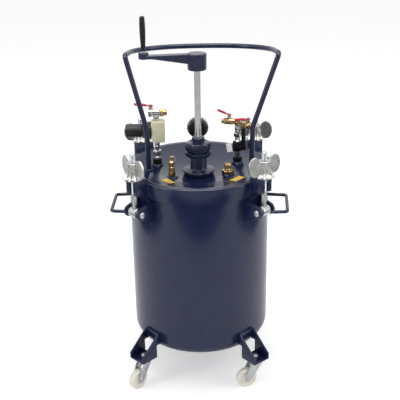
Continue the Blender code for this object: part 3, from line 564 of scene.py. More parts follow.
def make_leg(quarter):
    """Pressed foot, two cheeks and the web of a leg, with the caster's stud and nut."""
    node = f"leg_bracket_{quarter}"
    angle = leg_angle(quarter)
    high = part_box(node)[1]
    inner, outer = TANK_RADIUS + 0.012, TANK_RADIUS + 0.068
    foot, top = -0.014, high.z
    wall = TANK_RADIUS - 0.0005
    outline = [(inner, foot), (outer - 0.007, foot),
               *arc((outer - 0.006, foot + 0.006), 0.006, -80, 0, 5), (outer, 0.004),
               (outer - 0.0004, 0.0056), (TANK_RADIUS + 0.006, top - 0.001),
               (TANK_RADIUS + 0.004, top), (wall, top), (wall, 0.040), (TANK_RADIUS - 0.004, 0.024),
               (inner - 0.002, 0.026), (inner, 0.023)]
    parts = []
    for side in (-1, 1):
        cheek = plate(f"leg_cheek_{quarter}_{side}", outline, 0.004, upright=True, edge=0.0008)
        parts.append(place(cheek, (0, side * 0.026, 0)))
    parts.append(block(f"leg_foot_{quarter}", (inner, -0.028, foot), (outer, 0.028, foot + 0.004),
                       0.0012))
    parts.append(block(f"leg_web_{quarter}", (TANK_RADIUS - 0.002, -0.027, 0.036),
                       (TANK_RADIUS + 0.004, 0.027, top - 0.001), 0.0012))
    leg = joined(*parts, name=f"leg_{quarter}")
    fitted(place(leg, turn=(0, 0, angle)), "pot", "navy_enamel", node)
    at = polar(CASTER_CIRCLE, angle)
    stud = place(bar(f"caster_stud_{quarter}", 0.005, foot - 0.009, foot + 0.016), at)
    fitted(soften(stud, 0.0002), "pot", "zinc")
    fit_nut(f"caster_nut_{quarter}", 0.0095, foot + 0.0042, foot + 0.012, at, "zinc", body="pot")


def make_caster(quarter):
    """Pressed zinc fork on its ball race, and the moulded wheel."""
    at = polar(CASTER_CIRCLE, leg_angle(quarter))
    turn = math.radians(CASTER_TURN[quarter])
    top = -0.0143
    axis = centre(f"caster_wheel_{quarter}").z
    race = turned(f"fork_race_{quarter}", [(0.0056, top - 0.010), (0.019, top - 0.010),
                                           (0.021, top - 0.0085), (0.021, top - 0.006),
                                           (0.0185, top - 0.005), (0.0185, top - 0.004),
                                           (0.0205, top - 0.0035), (0.0205, top - 0.001),
                                           (0.0195, top), (0.0056, top)], hollow=True)
    parts = [soften(race, 0.0003)]
    outline = [(0.016, top - 0.0085), (-0.016, top - 0.0085), (-0.014, top - 0.014)]
    outline += list(reversed(arc((CASTER_TRAIL, axis), 0.010, 30, -150, 14)))
    for side in (-1, 1):
        cheek = plate(f"fork_cheek_{quarter}_{side}", outline, 0.0025, upright=True, edge=0.0005)
        parts.append(place(cheek, (0, side * 0.01375, 0)))
        head = hexagon(f"axle_head_{quarter}_{side}", 0.0068, 0.0148, 0.0178)
        parts.append(place(head, (CASTER_TRAIL, 0, axis), (side * math.pi / 2, 0, 0)))
    parts.append(block(f"fork_yoke_{quarter}", (-0.016, -0.015, top - 0.0115),
                       (0.016, 0.015, top - 0.0090), 0.0008))
    fork = joined(*parts, name=f"fork_{quarter}")
    fitted(place(fork, at, (0, 0, turn)), f"fork_{quarter}", "zinc", f"caster_fork_{quarter}")
    half = 0.011
    side = [(0.0052, half - 0.001), (0.0095, half - 0.001), (0.0105, half - 0.003),
            (0.021, half - 0.003), (0.0225, half - 0.0012), (0.0262, half - 0.0008),
            (0.0285, half - 0.003), (0.0296, half - 0.0058), (0.0299, half - 0.009)]
    rings = [(r, -z) for r, z in side] + [(r, z) for r, z in reversed(side)]
    wheel = soften(turned(f"wheel_{quarter}", rings, 64, hollow=True), 0.0003)
    tip = at + polar(CASTER_TRAIL, turn, axis)
    fitted(place(wheel, tip, (math.pi / 2, 0, turn)), f"wheel_{quarter}", "wheel_plastic",
           f"caster_wheel_{quarter}")


# Lid


def make_lid():
    """Dished lid with its skirt, fork lugs and port pads."""
    edge = LID_TOP - LID_SKIRT_DEPTH
    under = LID_TOP - LID_PLATE
    inner = LID_RADIUS - LID_PLATE
    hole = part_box("agitator_shaft")[1].x + 0.004
    radii = [BOSS_RADIUS + (DISH_RADIUS - BOSS_RADIUS) * i / 24 for i in range(25)]
    top = [(hole, lid_surface(0))] + [(r, lid_surface(r)) for r in radii]
    rim = [(DISH_RADIUS + 0.002, LID_TOP), *arc((LID_RADIUS - 0.006, LID_TOP - 0.006), 0.006, 90, 0, 9)]
    skirt = [(LID_RADIUS, edge + 0.001), (LID_RADIUS - 0.001, edge), (inner, edge), (inner, under)]
    below = [(r, z - LID_PLATE) for r, z in reversed(top)]
    lid = turned("lid_shell", top + rim + skirt + below, ROUND, hollow=True)
    smooth(35)
    fitted(lid, "lid", "navy_enamel", "lid")
    for quarter in QUARTERS:
        bolt = centre(f"bolt_washer_{quarter}")
        make_lug(quarter, bolt.xy.length, math.atan2(bolt.y, bolt.x))
    ports = {"inlet": "inlet_riser", "relief": "relief_valve", "filler": "filler_plug"}
    places = {port: centre(node).xy for port, node in ports.items()}
    low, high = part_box("gauge_case")
    places["gauge"] = Vector(((low.x + high.x) / 2, GAUGE_BACK))
    places["outlet"] = centre("dip_tube").xy
    for port, at in places.items():
        base = lid_surface(at.length)
        pad = turned(f"port_pad_{port}", [(0.0175, base - 0.003), (0.0175, base), (0.0163, base + 0.0012),
                                          (0.0158, base + 0.0034), (0.0150, base + 0.004)])
        fitted(soften(place(pad, (*at, 0)), 0.0003), "lid", "cast_enamel")


def make_lug(quarter, reach, angle):
    """Forged fork lug welded to the skirt, open outwards for its bolt."""
    root, tip, half, slot = LID_RADIUS - 0.003, reach + 0.011, LUG_WIDTH / 2, 0.0088
    corner = 0.005
    outline = [(root, -half), *arc((tip - corner, -half + corner), corner, -90, 0, 5),
               (tip, -slot - 0.001), (tip - 0.001, -slot)]
    outline += list(reversed(arc((reach, 0), slot, 90, 270, 14)))
    outline += [(tip - 0.001, slot), (tip, slot + 0.001),
                *arc((tip - corner, half - corner), corner, 0, 90, 5), (root, half)]
    lug = plate(f"lug_{quarter}", outline, LUG_HEIGHT, edge=0.0012)
    place(lug, (0, 0, LID_TOP + LUG_RISE - LUG_HEIGHT / 2), (0, 0, angle))
    fitted(lug, "lid", "cast_enamel")
    for side in (-1, 1):
        path = [polar(LID_RADIUS + 0.0006, angle + side * (half + 0.001) / LID_RADIUS, z)
                for z in [LID_TOP - 0.025 + 0.001 * i for i in range(22)]]
        seam = rod(f"lug_weld_{quarter}_{side}", path, 0.0022, 3)
        fitted(seam, "lid", "cast_enamel")


def make_hoop():
    """Bent tube from the lid's left side, back round the crank and down to its right side."""
    low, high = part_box("hoop_handle")
    front = -0.005
    left_foot, right_foot = -0.142, 0.151
    foot = low.z
    bend = LID_TOP + 0.108
    top = LID_TOP + 0.315
    left, right = low.x + HOOP_TUBE, high.x - HOOP_TUBE
    middle, half = (left + right) / 2, (right - left) / 2
    bow = []
    for i in range(57):
        a = math.pi * (1 - i / 56)
        across = math.copysign(abs(math.cos(a)) ** (2 / 2.3), math.cos(a))
        back = HOOP_BACK * abs(math.sin(a)) ** (2 / 2.3)
        bow.append(Vector((middle + half * across, front + back, top - 0.013 * back / HOOP_BACK)))
    start = rounded([(left_foot, front, foot), (left_foot - 0.003, front, bend), bow[0], bow[6]], 0.014)
    end = rounded([bow[-7], bow[-1], (right_foot + 0.003, front, bend),
                   (right_foot, front, foot + 0.002)], 0.014)
    hoop = rod("hoop_tube", start + bow[7:-7] + end, HOOP_TUBE, 8)
    fitted(hoop, "lid", "navy_enamel", "hoop_handle")
    for side, x in (("left", left_foot), ("right", right_foot)):
        bead = weld_bead(f"hoop_weld_{side}", 0.0082, 0.003)
        fitted(place(bead, (x, front, lid_surface(abs(x)) + 0.001)), "lid", "cast_enamel")


def make_agitator():
    """Boss, lock ring and gland on the lid; shaft, crank and grip that turn."""
    low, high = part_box("agitator_boss")
    neck, bore = 0.023, 0.0095
    lock = high.z - 0.014
    shoulder = low.z + 0.015
    boss = turned("boss_casting", [(bore, low.z), (0.040, low.z), (0.0425, low.z + 0.002),
                                   (BOSS_RADIUS - 0.0004, shoulder - 0.003),
                                   (BOSS_RADIUS - 0.0012, shoulder - 0.0008),
                                   (BOSS_RADIUS - 0.004, shoulder), (neck + 0.005, shoulder + 0.0003),
                                   (neck + 0.0015, shoulder + 0.002), (neck, shoulder + 0.006),
                                   (neck, high.z), (bore, high.z)], 64, hollow=True)
    fitted(soften(boss, 0.0006), "lid", "cast_enamel", "agitator_boss")
    fit_nut("lock_hexagon", HEX_CORNER, lock + 0.0005, high.z - 0.0005, (0, 0, 0), "cast_enamel",
            HEX_TURN)
    low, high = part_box("gland_nut")
    nut_top = high.z - 0.016
    collar = turned("gland_collar", [(bore, low.z), (neck, low.z), (neck, nut_top - 0.004),
                                     (0.0175, nut_top - 0.004), (0.0175, high.z - 0.006),
                                     (0.0185, high.z - 0.005), (0.0185, high.z - 0.002),
                                     (0.0165, high.z), (bore, high.z)], 48, hollow=True)
    fitted(soften(collar, 0.0005), "lid", "cast_enamel", "gland_nut")
    fit_nut("gland_hexagon", HEX_CORNER, nut_top - 0.024, nut_top, (0, 0, 0), "cast_enamel", HEX_TURN)
    low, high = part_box("agitator_shaft")
    shaft = soften(bar("shaft", high.x, low.z, high.z, 48, 0.001), 0.0003)
    fitted(shaft, "crank", "chrome", "agitator_shaft")
    make_crank()


def make_crank():
    """Cast crank: tapered hub, arm with a thicker root, and the boss that holds the grip's pin."""
    hub_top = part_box("agitator_shaft")[1].z + 0.006
    hub_low = hub_top - 0.046
    hub = turned("crank_casting", [(0.0245, hub_low), (0.0262, hub_low + 0.002),
                                   (0.0268, hub_top - 0.003), (0.0255, hub_top)], 64)
    arm_top, tip_low = hub_top - 0.001, hub_top - 0.0135
    side = [(0, hub_top - 0.0276), (0, arm_top), (-CRANK_ARM, arm_top - 0.004), (-CRANK_ARM, tip_low),
            (-CRANK_ARM * 0.82, tip_low), (-0.026, hub_top - 0.0276)]
    arm = plate("crank_arm_bar", side, 0.0262, upright=True, edge=0)
    end = place(bar("crank_end", 0.0141, tip_low - 0.001, hub_top + 0.004, 48, 0.002), (-CRANK_ARM, 0, 0))
    crank = cast(joined(hub, arm, end), 0.0010, 4)
    bore = turned("crank_bore", [(0.0096, hub_low - 0.01), (0.0096, hub_low + 0.034)], 48)
    fitted(carved(crank, bore, "DIFFERENCE"), "crank", "cast_enamel", "crank_arm")
    pin = place(bar("grip_pin", 0.004, hub_top - 0.012, hub_top + 0.009), (-CRANK_ARM, 0, 0))
    fitted(pin, "crank", "chrome")
    low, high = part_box("crank_grip")
    rings = [(0.0045, low.z), (0.0058, low.z), (0.0063, low.z + 0.001), (0.0060, low.z + 0.005),
             (0.0066, low.z + 0.018), (0.0076, low.z + 0.038), (0.0080, low.z + 0.056),
             (0.0078, low.z + 0.072), (0.0073, high.z - 0.007), (0.0066, high.z - 0.003),
             (0.0052, high.z - 0.0008), (0.0035, high.z)]
    grip = soften(turned("grip", rings, 40), 0.0003)
    fitted(place(grip, (-CRANK_ARM, 0, 0)), "grip", "black_oxide", "crank_grip")


def make_impeller():
    """Hub with a set screw's collar and three pitched blades."""
    low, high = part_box("impeller")
    hub = turned("impeller_hub", [(0.0093, low.z), (0.015, low.z), (0.016, low.z + 0.001),
                                  (0.016, high.z - 0.001), (0.015, high.z), (0.0093, high.z)],
                 hollow=True)
    parts = [soften(hub, 0.0003)]
    middle = (low.z + high.z) / 2
    for number in range(3):
        blade = block(f"impeller_blade_{number}", (0.012, -0.011, -0.0015), (0.0745, 0.011, 0.0015), 0.0006)
        parts.append(place(blade, (0, 0, middle), (math.radians(40), 0, math.radians(120 * number))))
    impeller = joined(*parts, name="impeller_casting")
    fitted(impeller, "crank", "chrome", "impeller")


# Clamps


def make_clamps():
    """Swing bolt, washer and wing nut, modelled once and copied to the four clamps."""
    first = QUARTERS[0]
    pin_z = centre(f"clevis_pin_{first}").z
    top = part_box(f"swing_bolt_{first}")[1].z - pin_z
    washer_low, washer_high = (corner.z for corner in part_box(f"bolt_washer_{first}"))
    base = washer_high + 0.0003
    bolt = make_bolt(top, washer_low - pin_z - 0.040)
    rings = [(0.0085, washer_low), (0.0214, washer_low), (0.022, washer_low + 0.0006),
             (0.022, washer_high - 0.0006), (0.0214, washer_high), (0.0085, washer_high)]
    washer = soften(turned("washer", rings, 48, hollow=True), 0.0002)
    nut = make_wing_nut()
    for quarter in QUARTERS:
        at = centre(f"bolt_washer_{quarter}")
        angle = math.atan2(at.y, at.x)
        one = place(copied(bolt, f"bolt_{quarter}"), (at.x, at.y, pin_z), (0, 0, angle))
        fitted(one, f"bolt_{quarter}", "zinc", f"swing_bolt_{quarter}")
        one = place(copied(washer, f"washer_plate_{quarter}"), (at.x, at.y, 0))
        fitted(one, f"washer_{quarter}", "zinc", f"bolt_washer_{quarter}")
        one = place(copied(nut, f"wing_nut_casting_{quarter}"), (at.x, at.y, base),
                    (0, 0, math.radians(NUT_TURN[quarter])))
        fitted(one, f"nut_{quarter}", "cast_zinc", f"wing_nut_{quarter}")
    for spare in (bolt, washer, nut):
        bpy.data.objects.remove(spare)


def make_bolt(top, thread_low):
    """Bolt on a cross sleeve, threaded from thread_low to its chamfered end."""
    rings = [(0.0079, 0.010), (0.0079, thread_low - 0.0005)]
    height = thread_low
    while height < top - 0.004:
        rings += [(0.0080, height + 0.0004), (0.0080, height + 0.0008), (0.0071, height + 0.0014),
                  (0.0071, height + 0.0016)]
        height += 0.002
    rings += [(0.0075, top - 0.0018), (0.0064, top)]
    shank = turned("bolt_blank", rings, 32)
    smooth(60)
    sleeve = turned("bolt_sleeve", [(0.0076, -0.014), (0.0132, -0.014), (0.014, -0.0132),
                                    (0.014, 0.0132), (0.0132, 0.014), (0.0076, 0.014)], 40, hollow=True)
    place(soften(sleeve, 0.0002), turn=(math.pi / 2, 0, 0))
    return joined(shank, sleeve)


def make_wing_nut():
    """Cast nut with a fluted, flared skirt and two flat wings, about its own bolt's axis."""
    flare = [(0.0300, 0.0), (0.0308, 0.0012), (0.0300, 0.0034), (0.0262, 0.0062), (0.0225, 0.0100),
             (0.0195, 0.0150), (0.0176, 0.0210), (0.0166, 0.0300), (0.0162, 0.0440), (0.0150, 0.0452)]
    body = turned("nut_body", [(0.0090, 0.0)] + flare + [(0.0090, 0.0452)], 96, hollow=True)
    rippled(body, 10, 0.0085, -0.001, 0.036)
    outline = [(0.019 * x, 0.027 * z) for x, z in arc((0, 0), 1, 0, 352.5, 47)]
    wings = []
    for side in (-1, 1):
        wing = plate(f"wing_{side}", outline, 0.0066, upright=True, edge=0)
        wings.append(place(wing, (side * 0.033, 0, 0.031)))
    return cast(joined(body, *wings), 0.0008, 2)


# Gauge


def make_gauge():
    """Case with its bezel, dial, window and stem; it faces the back."""
    low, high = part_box("gauge_case")
    radius = (high.x - low.x) / 2
    at = Vector(((low.x + high.x) / 2, GAUGE_BACK, high.z - radius))
    turn = (-math.pi / 2, 0, 0)
    half = 0.015
    rings = [(radius * 0.72, -half), (radius - 0.0075, -half + 0.0004), (radius - 0.0052, -half + 0.002),
             (radius - 0.0045, -half + 0.005), (radius - 0.0045, half - 0.002),
             (radius - 0.0058, half - 0.002), (radius - 0.0058, -half + 0.012)]
    fitted(place(soften(turned("gauge_shell", rings, 64), 0.0003), at, turn), "lid", "black_plastic",
           "gauge_case")
    bezel = turned("gauge_bezel", [(radius - 0.0044, half - 0.0150), (radius - 0.0006, half - 0.0146),
                                   (radius + 0.0004, half - 0.0135), (radius + 0.0004, half - 0.0010),
                                   (radius - 0.0006, half), (radius - 0.0060, half),
                                   (radius - 0.0064, half - 0.0006), (radius - 0.0064, half - 0.0016),
                                   (radius - 0.0044, half - 0.0018)], 64, hollow=True)
    fitted(place(soften(bezel, 0.0002), at, turn), "lid", "chrome")
    dial = bar("gauge_dial", radius - 0.0060, -half + 0.0119, -half + 0.0129, 64, 0.0002)
    fitted(place(dial, at, turn), "lid", "white_card")
    window = bar("gauge_window", radius - 0.0046, half - 0.0034, half - 0.0018, 64, 0.0002)
    fitted(place(soften(window, 0.0001), at, turn), "lid", "glass")
    marks = []
    for i in range(41):
        long = i % 5 == 0
        a = math.radians(225 - 270 * i / 40)
        inner = radius - (0.0115 if long else 0.0095)
        mark = block(f"dial_mark_{i}", (inner, -0.0004 if long else -0.0002, 0),
                     (radius - 0.0072, 0.0004 if long else 0.0002, 0.0002), 0.00005, 1)
        marks.append(place(mark, turn=(0, 0, a)))
    for i in range(5):
        a = math.radians(225 - 270 * i / 4)
        deselect()
        bpy.ops.object.text_add()
        number = bpy.context.object
        number.data.body = str(i * 2)
        number.data.size = 0.0068
        number.data.extrude = 0.0001
        number.data.align_x = number.data.align_y = "CENTER"
        bpy.ops.object.convert(target="MESH")
        number = bpy.context.object
        marks.append(place(number, polar(radius - 0.0160, a)))
    cap = joined(*marks, name="dial_print")
    fitted(place(place(cap, (0, 0, -half + 0.0130)), at, turn), "lid", "dial_ink")
    hub = turned("needle_hub", [(0.0022, -half + 0.0128), (0.0022, -half + 0.0192), (0.0014, -half + 0.0198)])
    fitted(place(soften(hub, 0.0002), at, turn), "needle", "black_oxide")
    stem = turned("gauge_stem", [(0.0070, low.z + 0.012), (0.0070, at.z - radius + 0.004)])
    fitted(place(stem, (at.x, at.y, 0)), "lid", "brass")
    fit_nut("gauge_stem_hexagon", 0.011, low.z, low.z + 0.0125, (at.x, at.y, 0), "brass")


# Inlet and outlet fittings


def sideways(piece, at, direction):
    """Lays a piece made along +Z along a level direction in degrees, from a point."""
    return place(piece, at, (0, math.pi / 2, math.radians(direction)))


def make_lever(name, body, at, direction, length, rise, coat="red_vinyl"):
    """Pressed lever with a dipped vinyl sleeve, and the nut that holds it on the stem."""
    outline = arc((0, 0), 0.0072, 70, 290, 14) + [(length * 0.4, -0.0042), (length * 0.4, 0.0042)]
    tang = plate(f"{name}_tang", outline, 0.0024, edge=0.0006)
    outline = [(length * 0.26, -0.0046), (length * 0.34, -0.0056), (length * 0.8, -0.0060)]
    outline += arc((length - 0.0052, 0), 0.0058, -80, 80, 10)
    outline += [(length * 0.8, 0.0060), (length * 0.34, 0.0056), (length * 0.26, 0.0046)]
    sleeve = plate(f"{name}_sleeve", outline, 0.0062, edge=0.0022)
    for part, lift in ((tang, 0.0015), (sleeve, 0.0024)):
        for corner in part.data.vertices:
            corner.co.z += lift + rise * max(0, corner.co.x) / length
        place(part, at, (0, 0, math.radians(direction)))
    fitted(tang, body, coat)
    fitted(sleeve, body, coat, name)
    fit_nut(f"{name}_nut", 0.0048, 0.0028, 0.0058, at, "zinc", body=body)


def ball_valve(name, body, at, direction, length, bore, coat, body_radius):
    """Valve barrel with a round middle and a hexagon at each end, from a point along a direction."""
    middle = length * 0.42
    barrel = turned(f"{name}_barrel", [(bore, 0.0), (bore, 0.004), (body_radius * 0.82, 0.006),
                                       (body_radius, middle - 0.006), (body_radius * 1.04, middle),
                                       (body_radius, middle + 0.006), (body_radius * 0.82, length - 0.014),
                                       (bore, length - 0.010), (bore, length)])
    fitted(sideways(soften(barrel, 0.0003), at, direction), body, coat)
    nut = hexagon(f"{name}_end_nut", body_radius * 1.08, length - 0.018, length - 0.008)
    fitted(sideways(nut, at, direction), body, coat)


def make_inlet():
    """Riser with its unions, regulator with bonnet and knob, and the ball valve on top."""
    low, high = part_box("inlet_riser")
    x, y = (low.xy + high.xy) / 2
    pipe = turned("inlet_pipe", [(0.0080, low.z), (0.0080, low.z + 0.019), (0.0070, low.z + 0.020),
                                 (0.0070, high.z - 0.014), (0.0085, high.z - 0.012),
                                 (0.0085, high.z)])
    fitted(place(soften(pipe, 0.0003), (x, y, 0)), "lid", "chrome", "inlet_riser")
    fit_nut("inlet_foot_nut", 0.0135, low.z, low.z + 0.014, (x, y, 0), "black_oxide")
    fit_nut("inlet_union_nut", 0.0125, low.z + 0.026, low.z + 0.040, (x, y, 0), "chrome", 0.4)
    low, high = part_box("regulator_body")
    parts = [block("regulator_casting", low, high, 0.0035, 4)]
    middle = (low + high) / 2
    parts.append(place(bar("regulator_boss_low", 0.0125, low.z - 0.0002, low.z + 0.006), (x, y, 0)))
    parts.append(sideways(bar("regulator_collar", 0.0185, 0.0, 0.003), (high.x - 0.0025, y, middle.z), 0))
    fitted(joined(*parts), "lid", "ivory_enamel", "regulator_body")
    low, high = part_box("regulator_bonnet")
    radius = (high.z - low.z) / 2
    axis = Vector((high.x, y, (low.z + high.z) / 2))
    rings = [(radius - 0.001, 0), (radius, 0.001), (radius, 0.007), (radius - 0.0015, 0.0075),
             (radius - 0.0015, 0.010), (radius - 0.001, 0.0105), (radius - 0.002, 0.022),
             (radius - 0.005, 0.026), (0.009, 0.027), (0.009, high.x - low.x)]
    bonnet = soften(turned("bonnet", rings, 64), 0.0004)
    fitted(sideways(bonnet, axis, 180), "lid", "black_plastic", "regulator_bonnet")
    low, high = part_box("regulator_knob")
    radius, length = (high.z - low.z) / 2, high.x - low.x
    rings = [(0.0096, 0.0), (radius - 0.0006, 0.0), (radius, 0.0006), (radius, length * 0.3),
             (radius, length * 0.6), (radius, length - 0.0012), (radius - 0.0010, length),
             (0.012, length), (0.010, length - 0.0008)]
    knob = turned("knob", rings, 96)
    for corner in knob.data.vertices:
        if 0.001 < corner.co.z < length - 0.002:
            a = math.atan2(corner.co.y, corner.co.x)
            dip = 1 - 0.022 * (0.5 + 0.5 * math.cos(24 * a))
            corner.co.x *= dip
            corner.co.y *= dip
    select_only(knob)
    smooth(30)
    fitted(sideways(knob, (high.x, axis.y, axis.z), 180), "knob", "black_plastic", "regulator_knob")
    make_inlet_valve(x, y)


def make_inlet_valve(x, y):
    """Chrome ball valve across the top of the regulator, with brass stem and packing nut."""
    low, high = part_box("inlet_valve")
    axis = low.z + 0.022 - 0.0003
    nipple = turned("inlet_nipple", [(0.0088, low.z), (0.0088, axis - 0.006), (0.0080, axis)])
    fitted(place(soften(nipple, 0.0003), (x, y, 0)), "lid", "chrome")
    barrel = turned("inlet_barrel", [(0.0105, 0), (0.0120, 0.0012), (0.0120, 0.010), (0.0106, 0.0115),
                                     (0.0112, 0.020), (0.0124, 0.026), (0.0112, 0.033),
                                     (0.0100, 0.0345), (0.0100, 0.036)])
    fitted(sideways(soften(barrel, 0.0004), (low.x, y, axis), 0), "lid", "chrome", "inlet_valve")
    nut = hexagon("inlet_barrel_nut", 0.0125, 0.034, 0.044)
    fitted(sideways(nut, (low.x, y, axis), 0), "lid", "brass")
    end = turned("inlet_tail", [(0.0085, 0.043), (0.0085, 0.050), (0.0078, 0.0510), (0.0085, 0.0530),
                                (0.0080, high.x - low.x)])
    fitted(sideways(soften(end, 0.0003), (low.x, y, axis), 0), "lid", "brass")
    pivot = (x - 0.014, y)
    stem = turned("inlet_stem", [(0.0055, axis + 0.008), (0.0055, high.z - 0.002), (0.0045, high.z)])
    fitted(place(soften(stem, 0.0002), (*pivot, 0)), "lid", "brass")
    make_lever("inlet_lever", "inlet_lever", (*pivot, high.z + 0.0003), 176, 0.048, 0.004)


def make_outlet():
    """Two risers on a tee, and a brass ball valve with its lever on each."""
    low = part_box("outlet_manifold")[0]
    x, y = centre("dip_tube").xy
    tee, top = LID_TOP + 0.028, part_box("outlet_manifold")[1].z
    riser = turned("outlet_pipe", [(0.0085, low.z), (0.0085, tee + 0.020), (0.0075, tee + 0.021),
                                   (0.0075, top - 0.016), (0.0085, top - 0.015), (0.0085, top)])
    fitted(place(soften(riser, 0.0003), (x, y, 0)), "lid", "chrome", "outlet_manifold")
    fit_nut("outlet_foot_nut", 0.0135, low.z, low.z + 0.013, (x, y, 0), "black_oxide")
    fit_nut("outlet_tee_nut", 0.0140, tee - 0.011, tee + 0.018, (x, y, 0), "black_oxide")
    fit_nut("outlet_union_nut", 0.0118, top - 0.034, top - 0.022, (x, y, 0), "chrome", 0.3)
    arm = bar("outlet_cross_arm", 0.0093, 0, 0.0178)
    fitted(sideways(arm, (x, y, tee), 10), "lid", "black_oxide")
    second = (x + 0.0178, y + 0.003)
    second_top = top - 0.010
    pipe = turned("outlet_second_pipe", [(0.0063, tee - 0.009), (0.0063, second_top)])
    fitted(place(pipe, (*second, 0)), "lid", "black_oxide")
    fit_nut("outlet_second_nut", 0.0114, tee - 0.008, tee + 0.012, (*second, 0), "black_oxide")
    make_outlet_valve("a", (x, y), 170, 0.046, 0.024, 176, 0.034, 0.014)
    make_outlet_valve("b", second, -38, 0.040, 0.016, 200, 0.042, 0.001)


def make_outlet_valve(letter, port, direction, length, stem_reach, lever_turn, lever_length, rise):
    """Elbow, barrel and stem of a small brass valve."""
    node = f"outlet_valve_{letter}"
    low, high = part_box(node)
    x, y = port
    axis = low.z + 0.010
    rings = [(0.0080, low.z), (0.0085, low.z + 0.0008), (0.0085, axis + 0.004),
             (0.0070, axis + 0.0072), (0.0040, axis + 0.0086)]
    elbow = turned(f"outlet_elbow_{letter}", rings)
    fitted(place(soften(elbow, 0.0003), (x, y, 0)), "lid", "brass", node)
    ball_valve(f"outlet_{letter}", "lid", (x, y, axis), direction, length, 0.0068, "brass", 0.0093)
    pivot = Vector((x, y, 0)) + polar(stem_reach, math.radians(direction))
    stem = turned(f"outlet_stem_{letter}", [(0.0045, axis + 0.004), (0.0045, high.z)])
    fitted(place(stem, (*pivot.xy, 0)), "lid", "brass")
    fit_nut(f"outlet_packing_nut_{letter}", 0.0058, axis + 0.009, axis + 0.014, (*pivot.xy, 0), "chrome")
    make_lever(f"outlet_lever_{letter}", f"outlet_lever_{letter}", (*pivot.xy, high.z + 0.0003),
               lever_turn, lever_length, rise)


def make_small_fittings():
    """Relief valve with its pull ring, filler plug, dip tube and blank tags."""
    low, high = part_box("relief_valve")
    at = (*centre("relief_valve").xy, 0)
    base = low.z
    valve = turned("relief_body", [(0.0078, base + 0.012), (0.0085, base + 0.0125), (0.0085, base + 0.026),
                                   (0.0075, base + 0.0268), (0.0075, base + 0.0285),
                                   (0.0085, base + 0.0292), (0.0085, base + 0.041),
                                   (0.0056, base + 0.0438), (0.0042, base + 0.052), (0.0046, base + 0.054),
                                   (0.0040, base + 0.0575), (0.0030, high.z)])
    fitted(place(soften(valve, 0.0002), at), "lid", "brass", "relief_valve")
    fit_nut("relief_nut", 0.0100, base, base + 0.0122, at, "brass")
    ring = turned("pull_ring", [(0.0062, -0.0006), (0.0074, -0.0006), (0.0074, 0.0006), (0.0062, 0.0006)],
                  hollow=True)
    place(soften(ring, 0.0003), turn=(math.radians(70), 0, 0))
    fitted(place(ring, Vector(at) + Vector((0.0035, 0, base + 0.050))), "lid", "zinc")
    low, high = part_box("filler_plug")
    at = (*centre("filler_plug").xy, 0)
    base = low.z
    fitted(place(hexagon("filler_nut", 0.0184, base, base + 0.0082), at), "lid", "brass", "filler_plug")
    plug = turned("filler_cap", [(0.0100, base + 0.008), (0.0100, base + 0.0105), (0.0088, base + 0.012),
                                 (0.0088, base + 0.014), (0.0100, base + 0.0155), (0.0100, base + 0.024),
                                 (0.0086, high.z), (0.0052, high.z), (0.0050, high.z - 0.003)])
    fitted(place(soften(plug, 0.0003), at), "lid", "brass")
    low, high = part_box("dip_tube")
    tube = turned("dip_pipe", [(0.0065, low.z), (0.0080, low.z), (0.0080, high.z), (0.0065, high.z)],
                  hollow=True)
    fitted(place(soften(tube, 0.0002), (*centre("dip_tube").xy, 0)), "lid", "zinc", "dip_tube")
    make_tag("tag_left", [(-0.105, -0.088), (-0.079, -0.116), (-0.066, -0.097), (-0.088, -0.057)])
    make_tag("tag_right", [(0.084, -0.089), (0.102, -0.117), (0.128, -0.087), (0.113, -0.058)])
    card = block("hang_card", (-0.0085, -0.013, -0.0003), (0.0085, 0.013, 0.0003), 0.0002, 1)
    place(card, turn=(math.radians(62), 0, 0))
    place(card, turn=(0, 0, math.radians(15)))
    fitted(place(card, (0.092, 0.100, LID_TOP + 0.012)), "lid", "white_card")


def make_tag(name, corners):
    """Blank printed tag stuck to the dish, following its curve."""
    deselect()
    bpy.ops.mesh.primitive_grid_add(x_subdivisions=16, y_subdivisions=16, size=2)
    tag = named(name)
    a, b, c, d = (Vector(corner) for corner in corners)
    for corner in tag.data.vertices:
        u, v = (corner.co.x + 1) / 2, (corner.co.y + 1) / 2
        flat = a * (1 - u) * (1 - v) + b * u * (1 - v) + c * u * v + d * (1 - u) * v
        corner.co = (*flat, lid_surface(flat.length) + 0.0006)
    applied(tag, "SOLIDIFY", thickness=0.0005, offset=-1)
    smooth(30)
    fitted(tag, "lid", "yellow_card")


def coat_cad_nodes():
    """Procedural finishes on the CAD nodes that stay visible."""
    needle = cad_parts["gauge_needle"]
    needle.data.materials.clear()
    needle.data.materials.append(FINISHES["red_vinyl"])


# Studio


